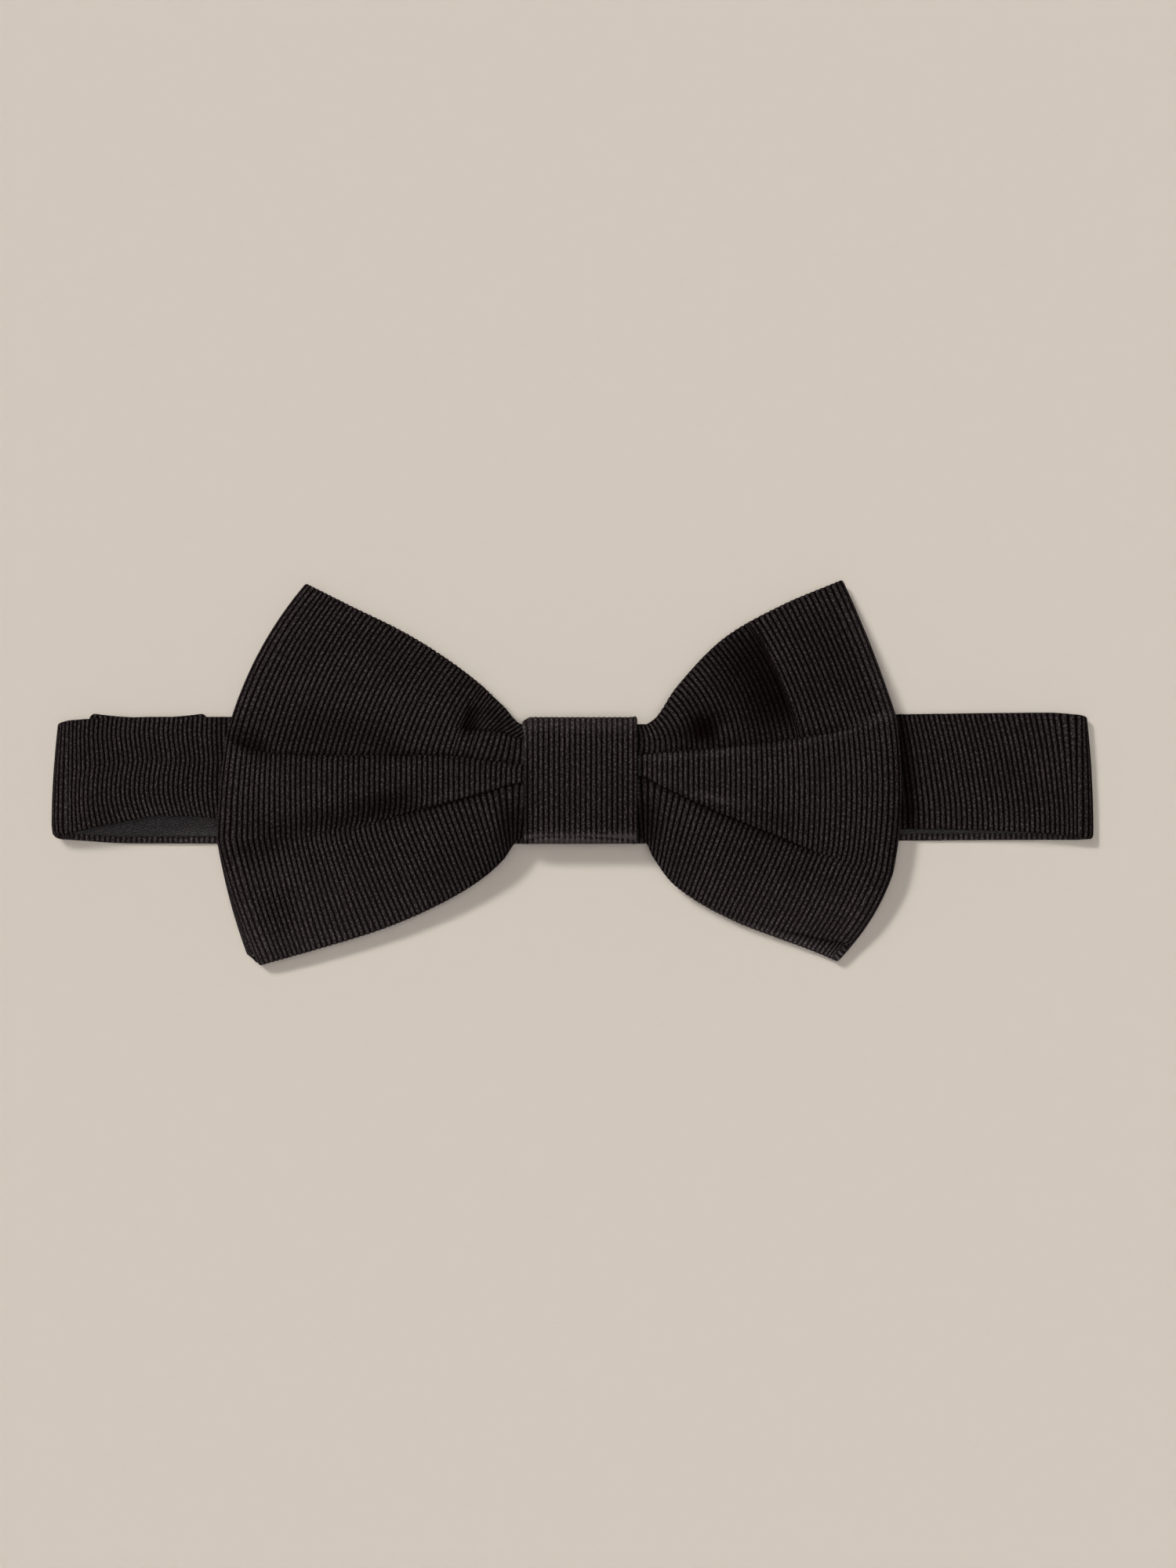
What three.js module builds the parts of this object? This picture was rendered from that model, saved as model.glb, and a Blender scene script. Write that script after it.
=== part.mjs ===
// A pre-tied bow tie lying on its back: two pleated wings, a knot wrap, and a whole neckband with its lining.
// Millimetres. X runs to the right of the face, Y to its upper hems, Z up from the surface that it rests on.
import * as THREE from "three";

// Cloth thicknesses, and the clear space between pieces that touch
const BOW_CLOTH = 1.1;
const STRAP_CLOTH = 1.0;
const LINING_CLOTH = 1.0;
const CLEAR = 0.3;
const LINING_CLEAR = 0.25;

// Levels of the layers at the knot, from the resting surface up
const STRAP_LEVEL = STRAP_CLOTH / 2;
const LINING_INSET = (STRAP_CLOTH + LINING_CLOTH) / 2 + LINING_CLEAR;
const LINING_TOP = STRAP_LEVEL + LINING_INSET + LINING_CLOTH / 2;
const KNOT_BACK = LINING_TOP + 0.35;
const FRONT_RUN_TOP = 6.15;
const REAR_LEAF_LEVEL = FRONT_RUN_TOP + 0.35 + BOW_CLOTH / 2;

// The knot wrap: a sleeve round the waist of the bow and the front run of the neckband
const KNOT_WIDTH = 20;
const KNOT_HEIGHT = 20.8;
const KNOT_FRONT = 12.2;
const KNOT_CLOTH = 1.0;
const KNOT_CORNER = 2.2;
const KNOT_DOME = 0.5;

// The wings: how far the outer fold's rounding reaches in, and how a rear leaf droops past the strap
const LEAF_LENGTH = 54;
const FOLD_ROUNDING = 3;
const STRAP_HALF_WIDTH = 11;
const HEM_REACH = 34;
const REAR_DROOP = 3.85;
const PLEAT_HALF_WIDTH = 2.4;
const SHIFT_REACH = 0.8;

// Reads each named column of a table at any place between its rows, on a curve that never overshoots a row.
function table(columns, rows) {
  const places = rows.map((row) => row[0]);
  const readers = columns.map((name, k) => {
    const values = rows.map((row) => row[k + 1]);
    return [name, (place) => between(places, values, place)];
  });
  return Object.fromEntries(readers);
}

function between(places, values, place) {
  const last = places.length - 1;
  if (place <= places[0]) return values[0];
  if (place >= places[last]) return values[last];
  const k = places.findIndex((next) => next > place) - 1;
  const step = places[k + 1] - places[k];
  const share = (place - places[k]) / step;
  const start = slopeAt(places, values, k) * step;
  const end = slopeAt(places, values, k + 1) * step;
  const rise = values[k + 1] - values[k];
  return values[k] + share * (start + share * (3 * rise - 2 * start - end + share * (start + end - 2 * rise)));
}

function slopeAt(places, values, k) {
  const slope = (n) => (values[n + 1] - values[n]) / (places[n + 1] - places[n]);
  if (k === 0) return slope(0);
  if (k === places.length - 1) return slope(k - 1);
  const before = slope(k - 1);
  const after = slope(k);
  return before * after <= 0 ? 0 : (2 * before * after) / (before + after);
}

const mix = (a, b, share) => a + (b - a) * share;

// Where the fold lines of each wing run, seen from the front. A row is a place along the leaf, 0 at the outer
// fold and 1 at the knot's edge, and 1.15 inside the knot.
const FOLD_COLUMNS = ["bottomX", "bottomY", "lowerX", "lowerY", "upperX", "upperY", "topX", "topY"];
const LEFT_FOLDS = table(FOLD_COLUMNS, [
  [0, -56.4, -33.4, -63.7, -11.1, -63.6, 3.9, -48.2, 33.9],
  [0.2, -47.5, -30.9, -52.9, -10.5, -52.9, 3.9, -40.8, 30.2],
  [0.45, -33.3, -26.4, -40.2, -8.9, -40.2, 3.7, -30.0, 24.8],
  [0.73, -19.4, -19.5, -25.0, -5.1, -25.0, 3.7, -18.6, 17.0],
  [0.9, -13.9, -14.7, -16.7, -2.8, -16.7, 2.9, -13.6, 12.3],
  [1, -10.0, -9.0, -10.0, -1.5, -10.0, 2.1, -10.0, 9.0],
  [1.15, -0.4, -9.0, -0.4, -1.0, -0.4, 1.7, -0.4, 8.6],
]);
const RIGHT_FOLDS = table(FOLD_COLUMNS, [
  [0, 47.7, -29.6, 54.7, -16.9, 55.2, 10.4, 45.9, 34.6],
  [0.2, 39.2, -28.0, 45.3, -14.7, 45.3, 8.0, 35.9, 30.4],
  [0.45, 27.3, -24.9, 33.8, -10.2, 33.8, 6.1, 25.5, 24.5],
  [0.73, 16.8, -19.4, 21.4, -5.1, 21.4, 4.8, 16.8, 15.5],
  [0.9, 12.9, -14.4, 14.5, -1.9, 14.5, 4.2, 12.7, 9.8],
  [1, 10.0, -9.0, 10.0, 0.1, 10.0, 3.7, 10.0, 8.7],
  [1.15, 0.4, -9.0, 0.4, 0.7, 0.4, 3.3, 0.4, 8.6],
]);

// Heights of the front leaf along the same places: at each hem, at the crown of each panel, and how deep the
// pleats sink between the panels.
const HEIGHT_COLUMNS = ["bottom", "lower", "middle", "upper", "top", "lowerPleat", "upperPleat"];
const LEFT_HEIGHTS = table(HEIGHT_COLUMNS, [
  [0, 5.2, 8.2, 10.2, 8.3, 5.2, 0.0, 0.4],
  [0.2, 5.8, 9.7, 11.6, 9.8, 5.8, 0.2, 0.9],
  [0.45, 6.8, 10.8, 12.3, 11.0, 6.9, 1.2, 1.6],
  [0.73, 8.2, 11.0, 12.0, 11.2, 8.3, 2.0, 2.1],
  [0.9, 9.0, 10.6, 11.2, 10.7, 9.0, 2.0, 2.2],
  [1, 9.2, 9.8, 10.0, 9.8, 9.2, 1.2, 1.2],
  [1.15, 9.1, 9.4, 9.6, 9.4, 9.1, 0.6, 0.6],
]);
const RIGHT_HEIGHTS = table(HEIGHT_COLUMNS, [
  [0, 5.2, 8.2, 10.2, 8.3, 5.2, 0.1, 0.2],
  [0.2, 5.8, 9.6, 11.8, 9.4, 5.8, 1.0, 0.8],
  [0.45, 6.8, 10.6, 12.6, 8.6, 7.4, 1.8, 1.8],
  [0.73, 8.2, 10.8, 12.2, 9.6, 9.4, 2.2, 2.2],
  [0.9, 9.0, 10.5, 11.3, 10.4, 9.6, 2.2, 2.0],
  [1, 9.2, 9.8, 10.0, 9.8, 9.3, 1.2, 1.2],
  [1.15, 9.1, 9.4, 9.6, 9.4, 9.1, 0.6, 0.6],
]);

// Each wing: its side of the knot, its fold lines and heights, how far the hems of its rear leaf sit from those
// of its front leaf at the outer corners, and how far the outer fold bows outwards along each panel.
const LEFT_WING = {
  side: -1,
  folds: LEFT_FOLDS,
  heights: LEFT_HEIGHTS,
  rearShift: { bottom: [-2.1, 1.7], top: [0.5, -0.7] },
  bow: [0.8, 0.3, 2.1],
};
const RIGHT_WING = {
  side: 1,
  folds: RIGHT_FOLDS,
  heights: RIGHT_HEIGHTS,
  rearShift: { bottom: [-2.6, -3.0], top: [-0.4, -0.7] },
  bow: [1.5, 1.2, 0.6],
};

// Shares across each panel at which a leaf has a line of points, hem to hem.
const PANELS = [
  { from: "bottom", to: "lower", shares: [0, 0.22, 0.45, 0.68, 0.86] },
  { from: "lower", to: "upper", shares: [0, 0.15, 0.32, 0.5, 0.68, 0.85] },
  { from: "upper", to: "top", shares: [0, 0.13, 0.32, 0.56, 0.8, 1] },
];
const FRONT_PLACES = [
  1.15, 1.07, 1.0, 0.95, 0.9, 0.84, 0.78, 0.71, 0.63, 0.54, 0.45, 0.36, 0.27, 0.19, 0.12, 0.075,
];
const FOLD_PLACES = [0.05, 0.03, 0.014, 0.004];
const REAR_PLACES = [0.1, 0.2, 0.33, 0.46, 0.59, 0.71, 0.82, 0.91, 1.0, 1.15];

function smoothStep(share) {
  const s = Math.min(1, Math.max(0, share));
  return s * s * (3 - 2 * s);
}

// The height that a rear leaf rests at: level over the strap, drooping towards its hems.
function rearLevel(y) {
  const past = Math.max(0, Math.abs(y) - STRAP_HALF_WIDTH) / (HEM_REACH - STRAP_HALF_WIDTH);
  return REAR_LEAF_LEVEL - REAR_DROOP * past ** 1.2;
}

// One line of points from hem to hem, at a place along the leaf. rear is 0 on the front leaf and 1 on the rear.
function leafLine(wing, place, rear) {
  const fade = Math.max(0, 1 - place / SHIFT_REACH) ** 2;
  const line = (name) => {
    const shift = wing.rearShift[name] ?? [0, 0];
    return [
      wing.folds[name + "X"](place) + shift[0] * rear * fade,
      wing.folds[name + "Y"](place) + shift[1] * rear * fade,
    ];
  };
  const levels = ["bottom", "lower", "middle", "upper", "top"].map((name) => wing.heights[name](place));
  const pleats = [wing.heights.lowerPleat(place), wing.heights.upperPleat(place)];
  const inward = Math.min(1, (place * LEAF_LENGTH) / FOLD_ROUNDING);
  const opened = Math.sqrt(1 - (1 - inward) ** 2);

  return PANELS.flatMap((panel, p) => {
    const [fromX, fromY] = line(panel.from);
    const [toX, toY] = line(panel.to);
    const length = Math.hypot(toX - fromX, toY - fromY);
    const bow = (wing.side * wing.bow[p] * fade) / length;
    return panel.shares.map((share) => {
      const bowed = bow * 4 * share * (1 - share);
      const x = mix(fromX, toX, share) + bowed * (toY - fromY);
      const y = mix(fromY, toY, share) - bowed * (toX - fromX);
      const crown = between([0, 1 / 6, 1 / 2, 5 / 6, 1], levels, (p + share) / 3);
      const toCreases = [p === 0 ? 1 - share : share, p === 2 ? share : 1 - share];
      const sink = [
        p === 2 ? 0 : pleats[0] * (1 - smoothStep((toCreases[0] * length) / PLEAT_HALF_WIDTH)),
        p === 0 ? 0 : pleats[1] * (1 - smoothStep((toCreases[1] * length) / PLEAT_HALF_WIDTH)),
      ];
      const front = crown - sink[0] - sink[1];
      const back = rearLevel(y);
      const half = ((front - back) / 2) * opened;
      return new THREE.Vector3(x, y, (front + back) / 2 + (rear < 0.5 ? half : -half));
    });
  });
}

// A wing's cloth from the knot out along the front leaf, round the outer fold and back along the rear leaf.
function wingGrid(wing) {
  const lines = [
    ...[...FRONT_PLACES, ...FOLD_PLACES].map((place) => [place, 0]),
    [0, 0.5],
    ...[...FOLD_PLACES.toReversed(), ...REAR_PLACES].map((place) => [place, 1]),
  ].map(([place, rear]) => leafLine(wing, place, rear));
  return wing.side > 0 ? lines : lines.reverse();
}

// The two runs of the neckband: where the strap's edges lie, at places along X.
const FRONT_RUN = table(["bottomY", "topY", "bottomZ", "topZ"], [
  [-90.4, -10.4, 9.9, 6.8, 5.2],
  [-86, -9.4, 10.2, 8.5, 5.8],
  [-80, -7.6, 10.4, 8.7, 5.8],
  [-75, -6.1, 10.5, 8.6, 5.8],
  [-68, -6.6, 10.5, 7.4, 5.8],
  [-62, -7.6, 10.5, 5.9, 5.7],
  [-40, -9.2, 10.3, 5.65, 5.65],
  [-13, -9.1, 9.2, 5.65, 5.65],
  [13, -9.1, 9.2, 5.65, 5.65],
  [40, -9.3, 10.7, 5.1, 5.1],
  [60, -9.3, 10.8, 4.9, 4.9],
  [88.1, -9.3, 10.6, 4.8, 4.8],
]);
const REAR_RUN = table(["bottomY", "topY"], [
  [-90.4, -11.3, 8.6],
  [-80, -11.9, 8.4],
  [0, -12.0, 8.3],
  [60, -11.4, 8.9],
  [88.1, -11.3, 9.0],
]);
const LEFT_TURN = { x: -90.4, reach: 2.7, lean: 0.9 };
const RIGHT_TURN = { x: 88.1, reach: 2.3, lean: -0.6 };
const RUN_STEPS = 26;
const TURN_STEPS = 7;
const ACROSS_STRAP = 7;

function frontPoint(x, across) {
  const raised = FRONT_RUN.bottomZ(x) - FRONT_RUN.topZ(x);
  return new THREE.Vector3(
    x,
    mix(FRONT_RUN.bottomY(x), FRONT_RUN.topY(x), across),
    FRONT_RUN.topZ(x) + raised * smoothStep((1 - across) * 1.5),
  );
}

function rearPoint(x, across) {
  return new THREE.Vector3(x, mix(REAR_RUN.bottomY(x), REAR_RUN.topY(x), across), STRAP_LEVEL);
}

// Half a turn of the strap at one end, from share 0 on the rear run to 1 on the front run.
function turnPoint(turn, across, share) {
  const low = rearPoint(turn.x, across);
  const high = frontPoint(turn.x, across);
  const angle = (share - 0.5) * Math.PI;
  const out = Math.sign(turn.x) * turn.reach * Math.cos(angle);
  const middle = (low.z + high.z) / 2;
  return new THREE.Vector3(
    turn.x + out + turn.lean * across * Math.cos(angle),
    mix(low.y, high.y, share),
    middle + ((high.z - low.z) / 2) * Math.sin(angle),
  );
}

// The middle of the strap's cloth, once round the whole neckband. inset narrows it at both edges.
function neckbandGrid(inset) {
  const acrossPlaces = Array.from({ length: ACROSS_STRAP }, (_, j) =>
    mix(inset, 1 - inset, j / (ACROSS_STRAP - 1)),
  );
  const stations = [];
  for (let k = 0; k < RUN_STEPS; k++) {
    const x = mix(LEFT_TURN.x, RIGHT_TURN.x, k / RUN_STEPS);
    stations.push((across) => frontPoint(x, across));
  }
  for (let k = 0; k < TURN_STEPS; k++) {
    stations.push((across) => turnPoint(RIGHT_TURN, across, 1 - k / TURN_STEPS));
  }
  for (let k = 0; k < RUN_STEPS; k++) {
    const x = mix(RIGHT_TURN.x, LEFT_TURN.x, k / RUN_STEPS);
    stations.push((across) => rearPoint(x, across));
  }
  for (let k = 0; k < TURN_STEPS; k++) {
    stations.push((across) => turnPoint(LEFT_TURN, across, k / TURN_STEPS));
  }
  return stations.map((station) => acrossPlaces.map(station));
}

// The middle of the knot wrap's cloth, once round the waist: down the front, up the back.
const KNOT_CORNER_STEPS = 5;
const KNOT_FACE_STEPS = 7;
const KNOT_COLUMNS = 5;

function knotGrid() {
  const reach = (KNOT_HEIGHT - KNOT_CLOTH) / 2;
  const radius = KNOT_CORNER - KNOT_CLOTH / 2;
  const low = KNOT_BACK + KNOT_CLOTH / 2;
  const high = KNOT_FRONT - KNOT_CLOTH / 2;
  const straight = reach - radius;
  const round = [];
  const face = (from, to, level, dome) => {
    for (let k = 1; k < KNOT_FACE_STEPS; k++) {
      const y = mix(from, to, k / KNOT_FACE_STEPS);
      round.push([y, level + dome * (1 - (y / straight) ** 2)]);
    }
  };
  const corner = (y, z, startAngle) => {
    for (let k = 0; k <= KNOT_CORNER_STEPS; k++) {
      const angle = startAngle + (k / KNOT_CORNER_STEPS) * (Math.PI / 2);
      round.push([y + radius * Math.cos(angle), z + radius * Math.sin(angle)]);
    }
  };
  face(straight, -straight, high, KNOT_DOME);
  corner(-straight, high - radius, Math.PI / 2);
  corner(-straight, low + radius, Math.PI);
  face(-straight, straight, low, 0);
  corner(straight, low + radius, -Math.PI / 2);
  corner(straight, high - radius, 0);
  const columns = Array.from({ length: KNOT_COLUMNS }, (_, j) =>
    mix(-KNOT_WIDTH / 2, KNOT_WIDTH / 2, j / (KNOT_COLUMNS - 1)),
  );
  return round.map(([y, z]) => columns.map((x) => new THREE.Vector3(x, y, z)));
}

// The outward direction of a cloth grid at one point. Along the grid crossed with across it points outwards.
function outward(grid, i, j, closed) {
  const last = grid.length - 1;
  const wide = grid[0].length - 1;
  const ahead = closed ? grid[(i + 1) % grid.length][j] : grid[Math.min(last, i + 1)][j];
  const behind = closed ? grid[(i + last) % grid.length][j] : grid[Math.max(0, i - 1)][j];
  const along = ahead.clone().sub(behind);
  const across = grid[i][Math.min(wide, j + 1)].clone().sub(grid[i][Math.max(0, j - 1)]);
  return along.cross(across).normalize();
}

// Cloth of even thickness about a grid of points. A closed grid joins its last line to its first.
function clothSolid(grid, thickness, { closed = false, offset = 0 } = {}) {
  const lines = grid.length;
  const points = grid[0].length;
  const positions = [];
  for (const face of [thickness / 2, -thickness / 2]) {
    for (let i = 0; i < lines; i++) {
      for (let j = 0; j < points; j++) {
        const point = grid[i][j].clone().addScaledVector(outward(grid, i, j, closed), offset + face);
        positions.push(point.x, point.y, point.z);
      }
    }
  }
  const outer = (i, j) => (i % lines) * points + j;
  const inner = (i, j) => outer(i, j) + lines * points;
  const indices = [];
  const quad = (a, b, c, d) => indices.push(a, b, c, a, c, d);
  const spans = closed ? lines : lines - 1;
  for (let i = 0; i < spans; i++) {
    for (let j = 0; j < points - 1; j++) {
      quad(outer(i, j), outer(i + 1, j), outer(i + 1, j + 1), outer(i, j + 1));
      quad(inner(i, j), inner(i, j + 1), inner(i + 1, j + 1), inner(i + 1, j));
    }
    const top = points - 1;
    quad(outer(i, 0), inner(i, 0), inner(i + 1, 0), outer(i + 1, 0));
    quad(outer(i, top), outer(i + 1, top), inner(i + 1, top), inner(i, top));
  }
  if (!closed) {
    const end = lines - 1;
    for (let j = 0; j < points - 1; j++) {
      quad(outer(0, j), outer(0, j + 1), inner(0, j + 1), inner(0, j));
      quad(outer(end, j), inner(end, j), inner(end, j + 1), outer(end, j + 1));
    }
  }
  const geometry = new THREE.BufferGeometry();
  geometry.setAttribute("position", new THREE.Float32BufferAttribute(positions, 3));
  geometry.setIndex(indices);
  geometry.computeVertexNormals();
  return geometry;
}

// A flat plate with round corners, and a slot through it if one is given.
function plateSolid({ thickness, slot, ...edges }) {
  const outline = roundedOutline(new THREE.Shape(), edges);
  if (slot) outline.holes.push(roundedOutline(new THREE.Path(), slot));
  return new THREE.ExtrudeGeometry(outline, { depth: thickness, bevelEnabled: false, curveSegments: 4 });
}

// hollow is how far the top edge dips between its corners.
function roundedOutline(path, { left, right, bottom, top, corner, hollow = 0 }) {
  path.moveTo(left + corner, bottom);
  path.lineTo(right - corner, bottom);
  path.absarc(right - corner, bottom + corner, corner, -Math.PI / 2, 0, false);
  path.lineTo(right, top - corner);
  path.absarc(right - corner, top - corner, corner, 0, Math.PI / 2, false);
  path.quadraticCurveTo((left + right) / 2, top - 2 * hollow, left + corner, top);
  path.absarc(left + corner, top - corner, corner, Math.PI / 2, Math.PI, false);
  path.lineTo(left, bottom + corner);
  path.absarc(left + corner, bottom + corner, corner, Math.PI, Math.PI * 1.5, false);
  return path;
}

// Materials: a near-black ribbed cloth with a faint warm cast, its twill lining, and a dull metal clasp
const ribbedCloth = new THREE.MeshStandardMaterial({ color: "#221c1c", roughness: 0.85, metalness: 0 });
const twillLining = new THREE.MeshStandardMaterial({ color: "#2a2627", roughness: 0.7, metalness: 0 });
const claspMetal = new THREE.MeshStandardMaterial({ color: "#8a8c90", roughness: 0.35, metalness: 1 });

const bowTie = new THREE.Group();

function add(name, geometry, material, level = 0) {
  const mesh = new THREE.Mesh(geometry, material);
  mesh.name = name;
  mesh.position.z = level;
  bowTie.add(mesh);
}

// The wings, each a loop of cloth whose pleats run into the knot
add("left_wing", clothSolid(wingGrid(LEFT_WING), BOW_CLOTH), ribbedCloth);
add("right_wing", clothSolid(wingGrid(RIGHT_WING), BOW_CLOTH), ribbedCloth);

// The knot wrap
add("knot_wrap", clothSolid(knotGrid(), KNOT_CLOTH, { closed: true }), ribbedCloth);

// The neckband, folded flat, and the lining sewn to its inner face
const LINING_MARGIN = 0.05;
add("neckband", clothSolid(neckbandGrid(0), STRAP_CLOTH, { closed: true }), ribbedCloth);
add(
  "band_lining",
  clothSolid(neckbandGrid(LINING_MARGIN), LINING_CLOTH, { closed: true, offset: -LINING_INSET }),
  twillLining,
);

// The doubled end of the strap, and the plain clasp that it joins, both inside the loop on the rear run
const STRAP_END = {
  left: -87,
  right: -66.3,
  bottom: -1.7,
  top: 11.2,
  corner: 0.8,
  hollow: 0.8,
  thickness: STRAP_CLOTH,
};
const CLASP = {
  left: STRAP_END.right + CLEAR,
  right: -54,
  bottom: -5,
  top: 8,
  corner: 1.5,
  thickness: 1,
  slot: { left: -64, right: -61.5, bottom: -2.5, top: 5.5, corner: 0.8 },
};
add("strap_end", plateSolid(STRAP_END), ribbedCloth, LINING_TOP + CLEAR);
add("neck_clasp", plateSolid(CLASP), claspMetal, LINING_TOP + CLEAR);

export default bowTie;
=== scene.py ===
"""A pre-tied bow tie of ribbed black cloth, lying folded flat on a pale surface, seen from straight above."""
import bpy
import math
import numpy as np
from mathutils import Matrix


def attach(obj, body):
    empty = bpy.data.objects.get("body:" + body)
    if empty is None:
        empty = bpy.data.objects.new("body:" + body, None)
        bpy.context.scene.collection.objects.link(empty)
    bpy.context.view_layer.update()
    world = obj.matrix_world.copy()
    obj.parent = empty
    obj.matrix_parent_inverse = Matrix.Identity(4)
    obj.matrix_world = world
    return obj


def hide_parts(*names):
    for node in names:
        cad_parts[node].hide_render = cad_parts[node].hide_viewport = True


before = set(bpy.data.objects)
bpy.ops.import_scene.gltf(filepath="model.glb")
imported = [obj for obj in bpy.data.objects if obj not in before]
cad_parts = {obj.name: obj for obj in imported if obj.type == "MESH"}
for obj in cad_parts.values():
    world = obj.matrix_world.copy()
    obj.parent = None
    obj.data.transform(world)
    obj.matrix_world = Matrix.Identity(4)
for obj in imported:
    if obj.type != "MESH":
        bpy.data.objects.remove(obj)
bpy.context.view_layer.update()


# The neckband strap: one strip of corded cloth with both long edges turned in, joined into a loop.
# It lies folded flat, a front run behind the bow and a rear run on the surface, and its lower edge stands
# open at the left end.
MM = 0.001
RIB = 0.93
RIB_RISE, RIB_FULLNESS, RIB_MIDDLE = 0.15, 0.75, 0.6
STRAP_CLOTH = 1.0
STRAP_LEVEL = 0.5
EDGE_LIFT, EDGE_LIFT_SHARE = 0.7, 0.3
OPEN_EDGE_RATE = 1.5
HEM_ROUND = 0.42


def mix(a, b, share):
    return a + (b - a) * share


def points(*coordinates):
    """Points from their coordinates, each of them a number or an array."""
    return np.stack(np.broadcast_arrays(*coordinates), axis=-1)


def on_curve(places, values, at):
    """Reads rows of values at any place between them, on a curve that never overshoots a row."""
    places = np.asarray(places, float)
    values = np.asarray(values, float)
    at = np.clip(np.asarray(at, float), places[0], places[-1])
    values = values.reshape(values.shape + (1,) * (1 + at.ndim - values.ndim)) * np.ones(at.shape)
    gaps = np.diff(places).reshape((-1,) + (1,) * at.ndim)
    grades = np.diff(values, axis=0) / gaps
    before, after = grades[:-1], grades[1:]
    total = np.where(before * after > 0, before + after, 1)
    inner = np.where(before * after > 0, 2 * before * after / total, 0)
    grades = np.concatenate([grades[:1], inner, grades[-1:]])
    k = np.clip(np.searchsorted(places, at, side="right") - 1, 0, len(places) - 2)

    def pick(rows):
        return np.take_along_axis(rows, k[None], axis=0)[0]

    gap = np.diff(places)[k]
    share = (at - places[k]) / gap
    start, end = pick(grades[:-1]) * gap, pick(grades[1:]) * gap
    low = pick(values[:-1])
    rise = pick(values[1:]) - low
    return low + share * (start + share * (3 * rise - 2 * start - end + share * (start + end - 2 * rise)))


def table(columns, rows):
    """A table with named columns, read by name and place."""
    places = [row[0] for row in rows]

    def reader(k):
        return lambda at: on_curve(places, [row[k] for row in rows], at)

    return {name: reader(k + 1) for k, name in enumerate(columns)}


FRONT_RUN = table(["bottom_y", "top_y", "bottom_z", "top_z"], [
    [-90.4, -10.2, 9.9, 6.8, 5.2],
    [-86, -8.9, 10.2, 8.5, 5.8],
    [-80, -7.7, 10.4, 8.7, 5.8],
    [-75, -7.0, 10.5, 8.6, 5.8],
    [-68, -7.2, 10.5, 7.4, 5.8],
    [-62, -7.8, 10.5, 5.9, 5.7],
    [-40, -9.2, 10.3, 5.65, 5.65],
    [-13, -9.1, 9.2, 5.65, 5.65],
    [13, -9.1, 9.2, 5.65, 5.65],
    [40, -9.3, 10.7, 5.1, 5.1],
    [60, -9.4, 11.0, 4.9, 4.9],
    [75, -9.9, 11.2, 4.9, 4.9],
    [83, -10.4, 11.25, 4.8, 4.8],
    [88.1, -10.8, 10.9, 4.8, 4.8],
])
REAR_RUN = table(["bottom_y", "top_y"], [
    [-90.4, -11.3, 8.6],
    [-80, -11.9, 8.4],
    [0, -12.0, 8.3],
    [60, -11.4, 8.9],
    [80, -11.3, 9.0],
    [88.1, -11.3, 10.2],
])
LEFT_TURN = {"x": -90.4, "reach": 2.8, "lean": 1.1, "corner": 1.1}
RIGHT_TURN = {"x": 88.1, "reach": 2.3, "lean": -1.2, "corner": 0.3}
CORNER_SHARE = 0.06
# How far the ribs of the two ends sway sideways, from the lower edge to the upper one
SWAY = table(["left", "right"], [
    [0, 1.1, 3.4], [0.08, 0.55, 3.4], [0.15, 0.2, 3.35], [0.22, -0.08, 3.25], [0.28, -0.16, 3.1],
    [0.42, 0.02, 2.65], [0.56, 0.45, 2.15], [0.7, 0.08, 1.6], [0.85, -0.28, 0.85], [1, 0.0, 0.0],
])
SWAY_PLACES = table(["left", "right"], [
    [-90.4, 0.0, 0.0], [-87, 0.55, 0.0], [-80, 1.0, 0.0], [-70, 0.8, 0.0], [-60, 0.0, 0.0],
    [55, 0.0, 0.7], [62, 0.0, 0.95], [72, 0.0, 1.0], [79, 0.0, 0.85], [84, 0.0, 0.58], [88.1, 0.0, 0.0],
])


def smooth_step(share):
    s = np.clip(share, 0, 1)
    return s * s * (3 - 2 * s)


def front_point(x, across):
    raised = FRONT_RUN["bottom_z"](x) - FRONT_RUN["top_z"](x)
    y = mix(FRONT_RUN["bottom_y"](x), FRONT_RUN["top_y"](x), across)
    z = FRONT_RUN["top_z"](x) + raised * smooth_step((1 - across) * OPEN_EDGE_RATE)
    sway = sum(SWAY[end](np.full(x.shape, across)) * SWAY_PLACES[end](x) for end in ("left", "right"))
    return points(x + sway, y, z)


def rear_point(x, across):
    y = mix(REAR_RUN["bottom_y"](x), REAR_RUN["top_y"](x), across)
    z = STRAP_LEVEL + EDGE_LIFT * np.maximum(0, 1 - across / EDGE_LIFT_SHARE) ** 2
    return points(x, y, z)


def turn_point(turn, across, share):
    """Half a turn at one end of the neckband, from share 0 on the rear run to 1 on the front run."""
    x = np.full(share.shape, turn["x"])
    low, high = rear_point(x, across), front_point(x, across)
    angle = (share - 0.5) * math.pi
    rounded = turn["corner"] * max(0, 1 - across / CORNER_SHARE) ** 2
    out = math.copysign(turn["reach"] - rounded, turn["x"]) + turn["lean"] * across ** 2
    middle, half = (low[:, 2] + high[:, 2]) / 2, (high[:, 2] - low[:, 2]) / 2
    y = mix(low[:, 1], high[:, 1], share)
    return points(x + out * np.cos(angle), y, middle + half * np.sin(angle))


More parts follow.
